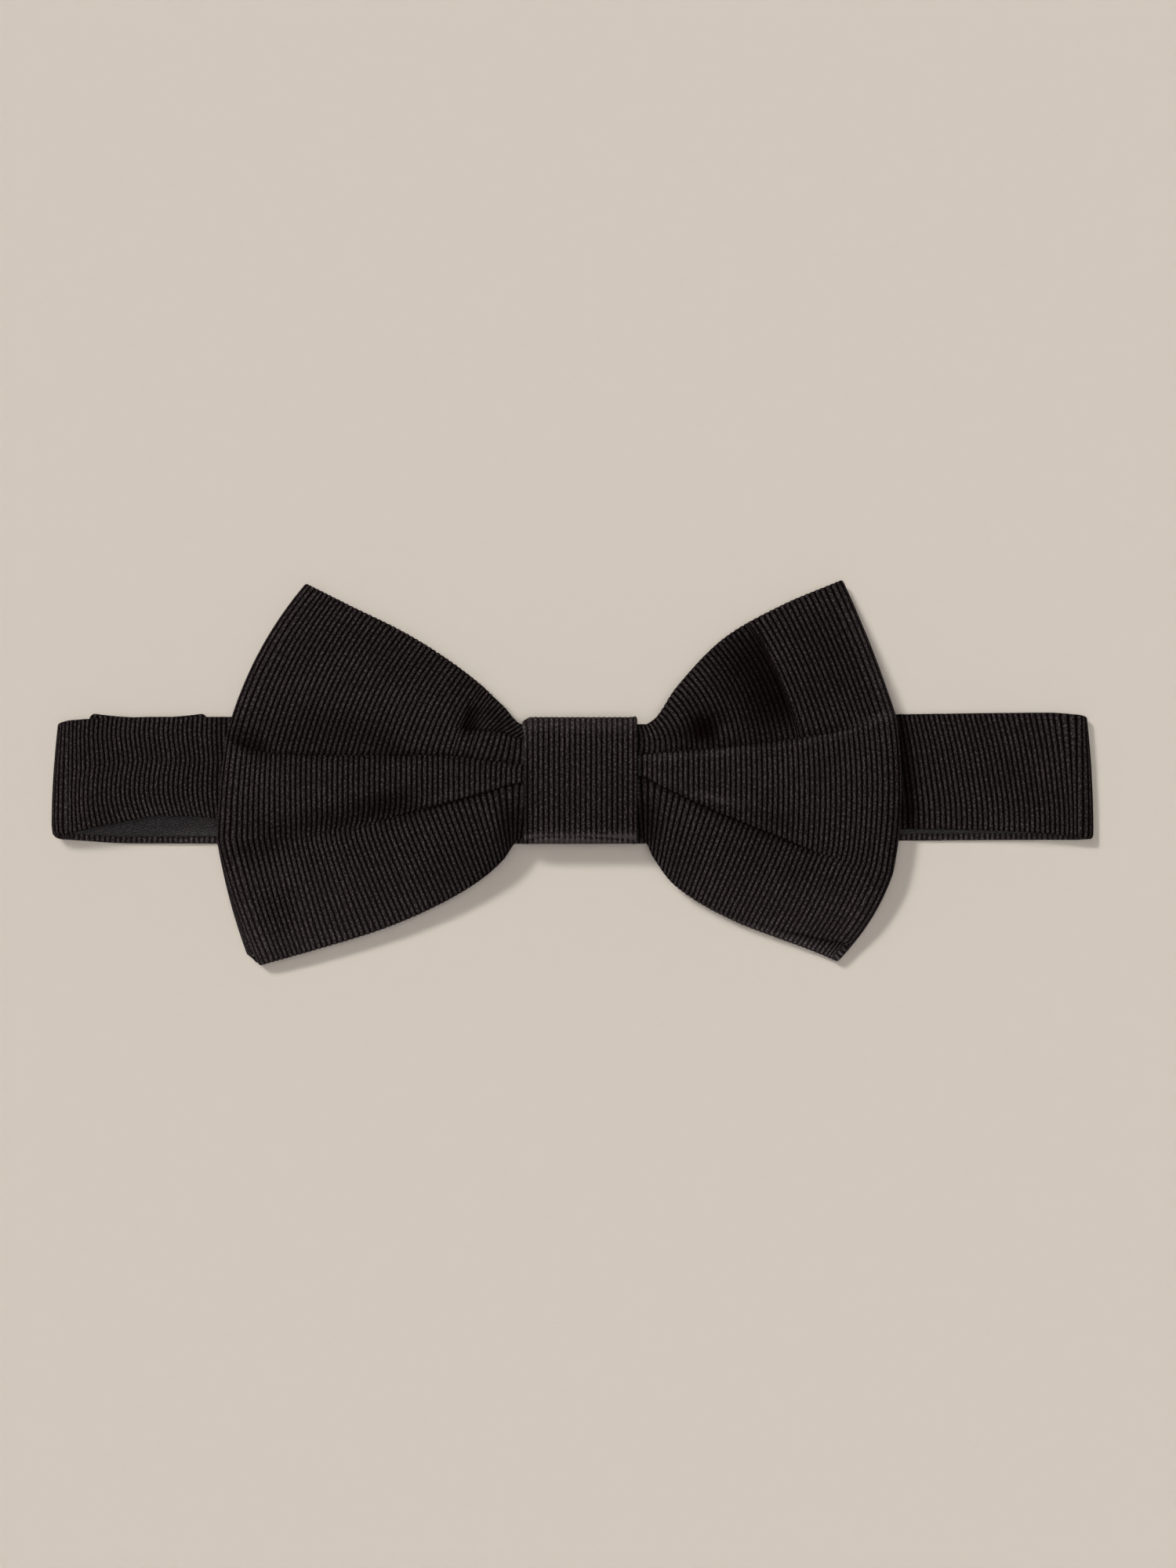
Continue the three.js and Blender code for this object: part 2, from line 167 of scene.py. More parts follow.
def strap_line(way, across):
    """Points along the strap: to way 1 the front run, to 2 the right turn, to 3 the rear run, to 4 the left."""
    left, right = LEFT_TURN["x"], RIGHT_TURN["x"]
    stretch = np.floor(way).astype(int)
    share = way - stretch
    parts = [
        front_point(mix(left, right, share), across),
        turn_point(RIGHT_TURN, across, 1 - share),
        rear_point(mix(right, left, share), across),
        turn_point(LEFT_TURN, across, share),
    ]
    return np.choose(np.clip(stretch, 0, 3)[:, None], parts)


def unit(vectors):
    return vectors / np.maximum(np.linalg.norm(vectors, axis=-1, keepdims=True), 1e-9)


def outward(grid, looped):
    """The direction out of a grid of points, columns along it and rows across it."""
    if looped:
        along = np.roll(grid, -1, axis=0) - np.roll(grid, 1, axis=0)
    else:
        along = np.gradient(grid, axis=0)
    across = np.gradient(grid, axis=1)
    return unit(np.cross(along, across))


def rib_relief(distance):
    """Height of the cords at a distance across them, from the grooves between them to their crowns."""
    return RIB_RISE * (np.abs(np.sin(math.pi * distance / RIB)) ** RIB_FULLNESS - RIB_MIDDLE)


def cloth_piece(name, outer, inner, outer_weave, inner_weave, looped=False):
    """A closed piece of cloth from its outer and inner face, each a grid of columns and rows in millimetres.

    The weave of a face gives each point its distance across the ribs and along them, in millimetres, with one
    column more than the grid where the piece is a loop."""
    columns = outer.shape[0]
    spans = columns if looped else columns - 1
    rows = {"outer": outer.shape[1], "inner": inner.shape[1]}
    base = {"outer": 0, "inner": outer.shape[0] * outer.shape[1]}
    weave = {"outer": outer_weave, "inner": inner_weave}
    faces, maps = [], []

    def corner(face, i, j):
        i, j = np.broadcast_arrays(i, j)
        index = base[face] + (i % columns) * rows[face] + j
        return index.ravel(), weave[face][i if looped else i % columns, j].reshape(-1, 2)

    def quads(*corners):
        marks = [corner(*c) for c in corners]
        faces.append(np.stack([m[0] for m in marks], axis=1))
        maps.append(np.stack([m[1] for m in marks], axis=1))

    i = np.arange(spans)[:, None]
    j, jn = np.arange(rows["outer"] - 1)[None], np.arange(rows["inner"] - 1)[None]
    quads(("outer", i, j), ("outer", i + 1, j), ("outer", i + 1, j + 1), ("outer", i, j + 1))
    quads(("inner", i, jn), ("inner", i, jn + 1), ("inner", i + 1, jn + 1), ("inner", i + 1, jn))
    top, ton = np.array([[rows["outer"] - 1]]), np.array([[rows["inner"] - 1]])
    low = np.array([[0]])
    quads(("outer", i, low), ("inner", i, low), ("inner", i + 1, low), ("outer", i + 1, low))
    quads(("outer", i, top), ("outer", i + 1, top), ("inner", i + 1, ton), ("inner", i, ton))
    quad_faces, quad_maps = np.concatenate(faces), np.concatenate(maps)

    caps = []
    if not looped:
        first_o = [base["outer"] + n for n in range(rows["outer"])]
        first_i = [base["inner"] + n for n in range(rows["inner"])]
        last_o = [v + (columns - 1) * rows["outer"] for v in first_o]
        last_i = [v + (columns - 1) * rows["inner"] for v in first_i]
        caps = [first_o + first_i[::-1], last_o[:1] + last_i + last_o[:0:-1]]
    corners = np.concatenate([outer.reshape(-1, 3), inner.reshape(-1, 3)]) * MM
    mesh = bpy.data.meshes.new(name)
    mesh.from_pydata(corners.tolist(), [], quad_faces.tolist() + caps)
    layer = mesh.uv_layers.new(name="weave")
    flat = np.zeros((len(mesh.loops), 2))
    flat[:quad_maps.shape[0] * 4] = quad_maps.reshape(-1, 2)
    layer.data.foreach_set("uv", flat.ravel())
    mesh.shade_smooth()
    mesh.set_sharp_from_angle(angle=math.radians(55))
    mesh.update()
    piece = bpy.data.objects.new(name, mesh)
    bpy.context.scene.collection.objects.link(piece)
    return piece


def set_painted_light_shade(piece, outer, inner):
    """Painted light and shade at each point of a piece's two faces, below 0 for painted shade."""
    layer = piece.data.attributes.new("painted_light_shade", "FLOAT", "POINT")
    layer.data.foreach_set("value", np.concatenate([outer.ravel(), inner.ravel()]))


def strip_weave(distances, grid):
    """Weave of a strip whose ribs run across it: distances along the strip, and lengths along each rib."""
    lengths = np.linalg.norm(np.diff(grid, axis=1), axis=2)
    lengths = np.concatenate([np.zeros((len(grid), 1)), np.cumsum(lengths, axis=1)], axis=1)
    if len(distances) > len(grid):
        lengths = np.concatenate([lengths, lengths[:1]])
    return points(distances[:, None], lengths)


def strip_piece(name, outer, inner, distances, looped=False):
    """A closed piece of a strip whose ribs run across it."""
    weaves = strip_weave(distances, outer), strip_weave(distances, inner)
    return cloth_piece(name, outer, inner, *weaves, looped)


# The slack left end is pushed together a little, so its ribs lie closer.
SLACK_START, SLACK_END = 3.0, 0.16
SLACK_CLOSER = 0.11


def even_ways(columns_per_rib):
    """Places along the strap that fall evenly on its ribs, and their distances from the start."""
    coarse = np.linspace(0, 4, 4001)[:-1]
    line = strap_line(coarse, 0.5)
    steps = np.linalg.norm(np.diff(np.concatenate([line, line[:1]]), axis=0), axis=1)
    steps = steps * (1 + SLACK_CLOSER * ((coarse > SLACK_START) | (coarse < SLACK_END)))
    lengths = np.concatenate([[0], np.cumsum(steps)])
    ribs = round(lengths[-1] / RIB)
    count = ribs * columns_per_rib
    even = np.linspace(0, lengths[-1], count + 1)
    ways = np.interp(even, lengths, np.append(coarse, 4.0))
    return ways[:-1], even * ribs * RIB / lengths[-1]


STRAP_WIDTH = 20.0
EDGE_TURNS = np.radians([90, 62, 34, 10])
FACE_START = 0.035


def rounded_edges(radius, width, face):
    """Rows across a face with rounded edges: the share of the width where each lies, and its drop."""
    inset = radius * (1 - np.sin(EDGE_TURNS)) / width
    drop = radius * (1 - np.cos(EDGE_TURNS))
    shares = np.concatenate([inset, face, 1 - inset[::-1]])
    return shares, np.concatenate([drop, np.zeros(len(face)), drop[::-1]])


ways, strap_distances = even_ways(6)
outer_shares, outer_drops = rounded_edges(HEM_ROUND, STRAP_WIDTH, np.linspace(FACE_START, 1 - FACE_START, 15))
inner_shares = np.array([0.008, 0.03, 0.05, 0.08, 0.3, 0.5, 0.7, 0.92, 0.95, 0.97, 0.992])

middle = np.stack([strap_line(ways, share) for share in outer_shares], axis=1)
relief = rib_relief(strap_distances[:-1])
lift = STRAP_CLOTH / 2 - outer_drops[None] + relief[:, None]
strap_outer = middle + outward(middle, True) * lift[:, :, None]
# The turned edges show their ribs beyond the lining, so the inner face has them too.
middle = np.stack([strap_line(ways, share) for share in inner_shares], axis=1)
strap_inner = middle - outward(middle, True) * (STRAP_CLOTH / 2 + relief[:, None])[:, :, None]
neckband = strip_piece("neckband_strap", strap_outer, strap_inner, strap_distances, looped=True)
# Painted shade on places of the front run, deepest beside the wings: x, reach, and painted light (below 0 is
# shade)
PAINTED_SHADE_PLACES = [
    (-84, 9, -0.12), (-63.6, 1.2, -0.3), (57.4, 1.9, -0.72), (63, 5, -0.1), (76, 18, -0.12), (91, 2, -0.3),
]
# Painted light along the turned lower edges of the front run and of the rear run.
FRONT_EDGE_PAINTED_LIGHT, FRONT_EDGE_SHARE = 0.12, 0.15
REAR_EDGE_PAINTED_LIGHT, REAR_EDGE_SHARE, REAR_EDGE_FULL = 0.62, 0.05, 1.8
REAR_START, REAR_END = 1.6, 3.4


def strap_painted_light_shade(shares):
    """Painted light on the turned lower edges, and painted shade on places of the front run."""
    x = strap_line(ways, 0.5)[:, 0]
    strap_painted_shade = sum(painted_light_shade * np.exp(-((x - place) / reach) ** 2) for place, reach, painted_light_shade in PAINTED_SHADE_PLACES)
    front_edge = FRONT_EDGE_PAINTED_LIGHT * np.clip(1 - shares / FRONT_EDGE_SHARE, 0, 1)
    rear_edge = REAR_EDGE_PAINTED_LIGHT * np.clip(REAR_EDGE_FULL - shares / REAR_EDGE_SHARE, 0, 1)
    way = ways[:, None]
    rear = np.where((way > REAR_START) & (way < REAR_END), rear_edge[None], 0)
    return np.where(way < 1, np.maximum(strap_painted_shade[:, None] + front_edge[None], -1), rear)


set_painted_light_shade(neckband, strap_painted_light_shade(outer_shares), strap_painted_light_shade(inner_shares))


def new_group(name, inputs, outputs):
    """A shader node group that reads the weave map and some values, and its in and out nodes."""
    group = bpy.data.node_groups.new(name, "ShaderNodeTree")
    group.interface.new_socket(name="Weave", in_out="INPUT", socket_type="NodeSocketVector")
    for label, value in inputs.items():
        socket = group.interface.new_socket(name=label, in_out="INPUT", socket_type="NodeSocketFloat")
        socket.default_value = value
    for label in outputs:
        group.interface.new_socket(name=label, in_out="OUTPUT", socket_type="NodeSocketFloat")
    return group, group.nodes.new("NodeGroupInput"), group.nodes.new("NodeGroupOutput")


def wire(tree, value, socket):
    """Sets a socket from another node's socket or from a plain value."""
    if isinstance(value, bpy.types.NodeSocket):
        tree.links.new(value, socket)
    else:
        socket.default_value = value


def sum_node(tree, operation, *values):
    node = tree.nodes.new("ShaderNodeMath")
    node.operation = operation
    for k, value in enumerate(values):
        wire(tree, value, node.inputs[k])
    return node.outputs[0]


def plus(tree, a, b):
    return sum_node(tree, "ADD", a, b)


def times(tree, a, b):
    return sum_node(tree, "MULTIPLY", a, b)


def range_node(tree, value, from_low, from_high, to_low, to_high, kind="SMOOTHSTEP"):
    node = tree.nodes.new("ShaderNodeMapRange")
    node.interpolation_type = kind
    for k, item in enumerate((value, from_low, from_high, to_low, to_high)):
        wire(tree, item, node.inputs[k])
    return node.outputs[0]


def noise_node(tree, vector, detail, roughness=0.55):
    node = tree.nodes.new("ShaderNodeTexNoise")
    wire(tree, vector, node.inputs["Vector"])
    node.inputs["Scale"].default_value = 1.0
    node.inputs["Detail"].default_value = detail
    node.inputs["Roughness"].default_value = roughness
    return node.outputs["Fac"]


def cloth_noise(tree, across, along, scale, detail, roughness=0.55):
    """Noise over a cloth. Its scale says how fine it is across the ribs and along them, and its own layer."""
    node = tree.nodes.new("ShaderNodeCombineXYZ")
    wire(tree, times(tree, across, scale[0]), node.inputs[0])
    wire(tree, times(tree, along, scale[1]), node.inputs[1])
    node.inputs[2].default_value = scale[2]
    return noise_node(tree, node.outputs[0], detail, roughness)


def colour_mix(tree, factor, dark, light, clamp=True):
    node = tree.nodes.new("ShaderNodeMix")
    node.data_type = "RGBA"
    node.clamp_factor = clamp
    node.inputs["A"].default_value = dark
    node.inputs["B"].default_value = light
    wire(tree, factor, node.inputs["Factor"])
    return node.outputs["Result"]


def bump_node(tree, height, strength):
    node = tree.nodes.new("ShaderNodeBump")
    node.inputs["Strength"].default_value = strength
    node.inputs["Distance"].default_value = MM
    wire(tree, height, node.inputs["Height"])
    return node.outputs["Normal"]


def weave_axes(group, given):
    """Distances across the ribs and along them, which a group gets in its Weave input."""
    split = group.nodes.new("ShaderNodeSeparateXYZ")
    group.links.new(given.outputs["Weave"], split.inputs[0])
    return split.outputs[0], split.outputs[1]


def give(group, result, **values):
    """Connects a group's results to its outputs, and gives the group back."""
    for label, value in values.items():
        group.links.new(value, result.inputs[label])
    return group


def weave_group(tree, group):
    """Places a group that reads the weave map in a material."""
    weave = tree.nodes.new("ShaderNodeUVMap")
    weave.uv_map = "weave"
    node = tree.nodes.new("ShaderNodeGroup")
    node.node_tree = group
    tree.links.new(weave.outputs["UV"], node.inputs["Weave"])
    return node.outputs


THREAD = 0.31
THREAD_START, THREAD_SLANT, THREAD_WANDER = 0.381, 0.7, 3.0
WANDER_SCALE, GLINT_SCALE, PATCH_SCALE = (1.3, 1.4, 3.7), (3.4, 2.3, 9.1), (0.11, 0.16, 0.4)
GLINT_RANGE, GROOVE_RANGE, PATCH_RANGE = (0.44, 0.70), (0.08, 0.8), (0.3, 0.7)
PAINTED_GLINT_LIGHT, THREAD_LIGHT, PLAIN_LIGHT = 1.5, 0.15, 0.08
PATCH_TONES = (0.82, 1.16)
CORD_HEIGHT, THREAD_HEIGHT, GRAIN_HEIGHT = 0.07, 0.02, 0.06


def corded_weave():
    """Fine threads that cross the cords of a ribbed cloth: how light each place is, with painted glints on the
    cords and painted shade in the grooves, its height in millimetres, and how deep in a groove it lies."""
    group, given, result = new_group(
        "corded weave", {"Rib": RIB, "Thread": THREAD}, ["Tone", "Height", "Groove"])
    across, along = weave_axes(group, given)
    ribs = sum_node(group, "DIVIDE", across, given.outputs["Rib"])
    crown = times(group, sum_node(group, "PINGPONG", ribs, 0.5), 2.0)
    groove = range_node(group, crown, *GROOVE_RANGE, 1.0, 0.0)
    raised = sum_node(group, "SUBTRACT", 1.0, groove)
    # Each cord has its own start of the crossing threads, and they slant a little over it.
    threads = sum_node(group, "DIVIDE", along, given.outputs["Thread"])
    start = times(group, sum_node(group, "FLOOR", ribs), THREAD_START)
    turn = plus(group, plus(group, threads, start), times(group, ribs, THREAD_SLANT))
    wander = times(group, cloth_noise(group, ribs, along, WANDER_SCALE, 2.0), THREAD_WANDER)
    wave = sum_node(group, "SINE", times(group, plus(group, turn, wander), 2 * math.pi))
    wave = sum_node(group, "MULTIPLY_ADD", wave, 0.5, 0.5)
    grain = cloth_noise(group, ribs, along, GLINT_SCALE, 3.0, 0.65)
    # Painted glints on the cords.
    painted_glints = range_node(group, grain, *GLINT_RANGE, 0.0, 1.0)
    lit = plus(group, times(group, painted_glints, PAINTED_GLINT_LIGHT), times(group, wave, THREAD_LIGHT))
    # The grooves between the cords get painted shade.
    lit = times(group, plus(group, lit, PLAIN_LIGHT), raised)
    patches = cloth_noise(group, across, along, PATCH_SCALE, 3.0)
    tone = times(group, lit, range_node(group, patches, *PATCH_RANGE, *PATCH_TONES, "LINEAR"))
    height = plus(group, times(group, raised, CORD_HEIGHT), times(group, wave, THREAD_HEIGHT))
    height = plus(group, height, times(group, grain, GRAIN_HEIGHT))
    return give(group, result, Tone=tone, Height=height, Groove=groove)


CORDED_WEAVE = corded_weave()


def plain_material(name, look):
    """A material with one Principled shader, whose plain values are set on its own sockets."""
    material = bpy.data.materials.new(name)
    material.use_nodes = True
    shader = next(n for n in material.node_tree.nodes if n.type == "BSDF_PRINCIPLED")
    for label, value in look.items():
        shader.inputs[label].default_value = value
    return material, material.node_tree, shader


CROWN_ROUGHNESS, GROOVE_ROUGHNESS = 0.74, 0.95
CROWN_COAT = 0.2
ADDED_PAINTED_LIGHT = 0.34
PAINTED_PALE_RANGE, PAINTED_PALE_SHARE, PAINTED_PALE_TONE = (0.65, 1.05), 0.85, 0.9


def ribbed_cloth(name, dark, light):
    material, tree, shader = plain_material(name, {"Specular IOR Level": 0.0, "Coat Roughness": 0.72})
    cords = weave_group(tree, CORDED_WEAVE)
    # The attribute read here holds painted light and shade: below 0 it darkens the tone as painted shade, above
    # 0 it lightens the tone and adds painted light, and at its highest the tone goes over to one pale tone.
    attribute = tree.nodes.new("ShaderNodeAttribute")
    attribute.attribute_name = "painted_light_shade"
    painted_light_shade = attribute.outputs["Fac"]
    painted_lighting = plus(tree, 1.0, painted_light_shade)
    # Painted light added on top of the tone.
    opened = times(tree, sum_node(tree, "MAXIMUM", painted_light_shade, 0.0), ADDED_PAINTED_LIGHT)
    blend = tree.nodes.new("ShaderNodeMix")
    blend.clamp_factor = False
    wire(tree, range_node(tree, painted_light_shade, *PAINTED_PALE_RANGE, 0.0, PAINTED_PALE_SHARE), blend.inputs["Factor"])
    wire(tree, plus(tree, times(tree, cords["Tone"], painted_lighting), opened), blend.inputs["A"])
    blend.inputs["B"].default_value = PAINTED_PALE_TONE
    coat = range_node(tree, cords["Groove"], 0.0, 1.0, CROWN_COAT, 0.0)
    roughness = range_node(tree, cords["Groove"], 0.0, 1.0, CROWN_ROUGHNESS, GROOVE_ROUGHNESS)
    colour = colour_mix(tree, blend.outputs["Result"], dark, light, clamp=False)
    wire(tree, colour, shader.inputs["Base Color"])
    # The coat's gloss is scaled by the painted light and shade too.
    wire(tree, times(tree, coat, painted_lighting), shader.inputs["Coat Weight"])
    wire(tree, roughness, shader.inputs["Roughness"])
    wire(tree, bump_node(tree, cords["Height"], 0.9), shader.inputs["Normal"])
    return material


# The cloth's dark and pale tones; the pale end also colours its painted glints and painted light.
CLOTH_DARK = (0.0026, 0.0010, 0.0009, 1)
CLOTH_LIGHT = (0.0470, 0.0368, 0.0368, 1)
black_rib = ribbed_cloth("black ribbed cloth", CLOTH_DARK, CLOTH_LIGHT)
neckband.data.materials.append(black_rib)
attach(neckband, "root")
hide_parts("neckband")


# The twill lining: a smooth strip sewn to the inner face of the strap, one millimetre short of each edge.
# It shows between the two runs where the left end stands open.
LINING_CLOTH = 1.0
LINING_INSET = 1.25
LINING_MARGIN = 0.05
LINING_ROUND = 0.35
lining_ways, lining_distances = even_ways(2)
lining_shares, lining_drops = rounded_edges(LINING_ROUND, STRAP_WIDTH, np.linspace(0.1, 0.9, 9))
lining_shares = mix(LINING_MARGIN, 1 - LINING_MARGIN, lining_shares)
middle = np.stack([strap_line(lining_ways, share) for share in lining_shares], axis=1)
direction = outward(middle, True)
lining_outer = middle + direction * (-LINING_INSET + LINING_CLOTH / 2)
lining_inner = middle + direction * (-LINING_INSET - LINING_CLOTH / 2 + lining_drops)[None, :, None]
band_lining = strip_piece("twill_band_lining", lining_outer, lining_inner, lining_distances, looped=True)


TWILL_SCALE = (3.1, 4.3, 2.2)
RIDGE_RANGE, RIDGE_TONES = (0.05, 0.8), (0.5, 1.0)
TWILL_RANGE, TWILL_TONES = (0.38, 0.64), (0.1, 1.2)
RIDGE_HEIGHT, TWILL_GRAIN_HEIGHT = 0.08, 0.03


def twill_lines():
    """Slanting lines of a twill: how light each place is, and its height in millimetres."""
    group, given, result = new_group("twill lines", {"Spacing": 0.5, "Slope": 0.27}, ["Tone", "Height"])
    across, along = weave_axes(group, given)
    lean = times(group, across, given.outputs["Slope"])
    lines = sum_node(group, "DIVIDE", plus(group, along, lean), given.outputs["Spacing"])
    ridge = times(group, sum_node(group, "PINGPONG", lines, 0.5), 2.0)
    grain = cloth_noise(group, across, along, TWILL_SCALE, 3.0)
    lit = range_node(group, ridge, *RIDGE_RANGE, *RIDGE_TONES)
    tone = times(group, lit, range_node(group, grain, *TWILL_RANGE, *TWILL_TONES, "LINEAR"))
    height = plus(group, times(group, lit, RIDGE_HEIGHT), times(group, grain, TWILL_GRAIN_HEIGHT))
    return give(group, result, Tone=tone, Height=height)


TWILL_DARK = (0.003, 0.0022, 0.0024, 1)
TWILL_LIGHT = (0.047, 0.039, 0.040, 1)
twill, tree, shader = plain_material("black twill lining", {"Roughness": 0.7, "Specular IOR Level": 0.22})
lines = weave_group(tree, twill_lines())
wire(tree, colour_mix(tree, lines["Tone"], TWILL_DARK, TWILL_LIGHT), shader.inputs["Base Color"])
wire(tree, bump_node(tree, lines["Height"], 0.8), shader.inputs["Normal"])
band_lining.data.materials.append(twill)
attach(band_lining, "root")
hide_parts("band_lining")


# The doubled end of the strap: a short flap of the ribbed cloth inside the loop, beside the clasp.
# Its upper edge stands a little over the front run and dips between its corners.
END_LEFT, END_RIGHT = -87.0, -66.3
END_BOTTOM, END_TOP, END_HOLLOW = -1.7, 11.2, 0.8
END_LEVEL = 2.55
END_SINK = 0.06
SIDE_ROUND, SIDE_REACH = 0.4, 0.6
END_CORNER, CORNER_REACH = 0.7, 1.0
end_columns = np.arange(END_LEFT, END_RIGHT + 1e-6, RIB / 6)
end_share = (end_columns - END_LEFT) / (END_RIGHT - END_LEFT)
dip = END_HOLLOW * 4 * end_share * (1 - end_share)
# The flap's side edges are rounded off over the last half millimetre.
from_side = np.minimum(end_columns - END_LEFT, END_RIGHT - end_columns)
side_drop = SIDE_ROUND * (1 - np.sqrt(1 - (1 - np.clip(from_side / SIDE_REACH, 0, 1)) ** 2))
corner_cut = END_CORNER * (1 - np.clip(from_side / CORNER_REACH, 0, 1)) ** 2
row_shares, row_drops = rounded_edges(HEM_ROUND, END_TOP - END_BOTTOM, np.linspace(0.08, 0.92, 8))
end_relief = rib_relief(end_columns)


def end_face(shares, level, drops, sense):
    y = END_BOTTOM + (END_TOP - (dip + corner_cut)[:, None] - END_BOTTOM) * shares[None]
    z = level + sense * (end_relief[:, None] - drops[None] - side_drop[:, None])
    return points(end_columns[:, None], y, z)


flap_outer = end_face(row_shares, END_LEVEL + STRAP_CLOTH - END_SINK, row_drops, 1)
flap_inner = end_face(np.array([0.01, 0.5, 0.99]), END_LEVEL + END_SINK, np.zeros(3), -1)
strap_end = strip_piece("doubled_strap_end", flap_outer, flap_inner, end_columns)
strap_end.data.materials.append(black_rib)
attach(strap_end, "root")
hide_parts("strap_end")


# The clasp: a plain stamped plate with one slot, hidden inside the loop. Its shape in the frame is right,
# so it stays and gets a brushed finish.
steel, tree, shader = plain_material("brushed steel", {"Metallic": 1.0, "Roughness": 0.35})
where = tree.nodes.new("ShaderNodeTexCoord")
stretch = tree.nodes.new("ShaderNodeMapping")
stretch.inputs["Scale"].default_value = (60, 4000, 4000)
tree.links.new(where.outputs["Object"], stretch.inputs["Vector"])
grain = noise_node(tree, stretch.outputs["Vector"], 4.0)
brushed = colour_mix(tree, grain, (0.36, 0.37, 0.39, 1), (0.55, 0.56, 0.58, 1))
wire(tree, brushed, shader.inputs["Base Color"])
wire(tree, range_node(tree, grain, 0.3, 0.7, 0.28, 0.46), shader.inputs["Roughness"])
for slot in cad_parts["neck_clasp"].material_slots:
    slot.material = steel


# The two wings of the bow: each is one strip of ribbed cloth, out from the knot, round the outer fold and
# back behind, with its edges turned in. The front leaf is folded into a box pleat whose raised middle panel
# narrows to the knot, and the upper panel of the left wing has one small tuck beside the knot.
BOW_CLOTH = 1.1
FRONT_RUN_TOP = 6.15
REAR_LEAF_LEVEL = FRONT_RUN_TOP + 0.35 + BOW_CLOTH / 2
LEAF_LENGTH = 54
FOLD_ROUNDING = 3
STRAP_HALF_WIDTH = 11
HEM_REACH = 34
REAR_DROOP, DROOP_CURVE = 4.6, 0.7
SHIFT_REACH = 0.8
LAST_PLACE = 1.15
WAIST_PLACE = 1.05
FOLD_LINES = ["bottom_x", "bottom_y", "lower_x", "lower_y", "upper_x", "upper_y", "top_x", "top_y"]
CROWNS = ["bottom", "lower", "middle", "upper", "top"]
PLEATS = ["lower_depth", "lower_crisp", "upper_depth", "upper_crisp", "tuck_depth", "tuck_crisp"]
BENDS = ["upper_bend", "tuck_share", "tuck_lead"]
# A hollow is sunk by its height and gets painted shade by its shade, deepest in its middle; a negative shade
# paints light.
HOLLOW = ["x", "y", "along", "left", "right", "angle", "height", "shade"]

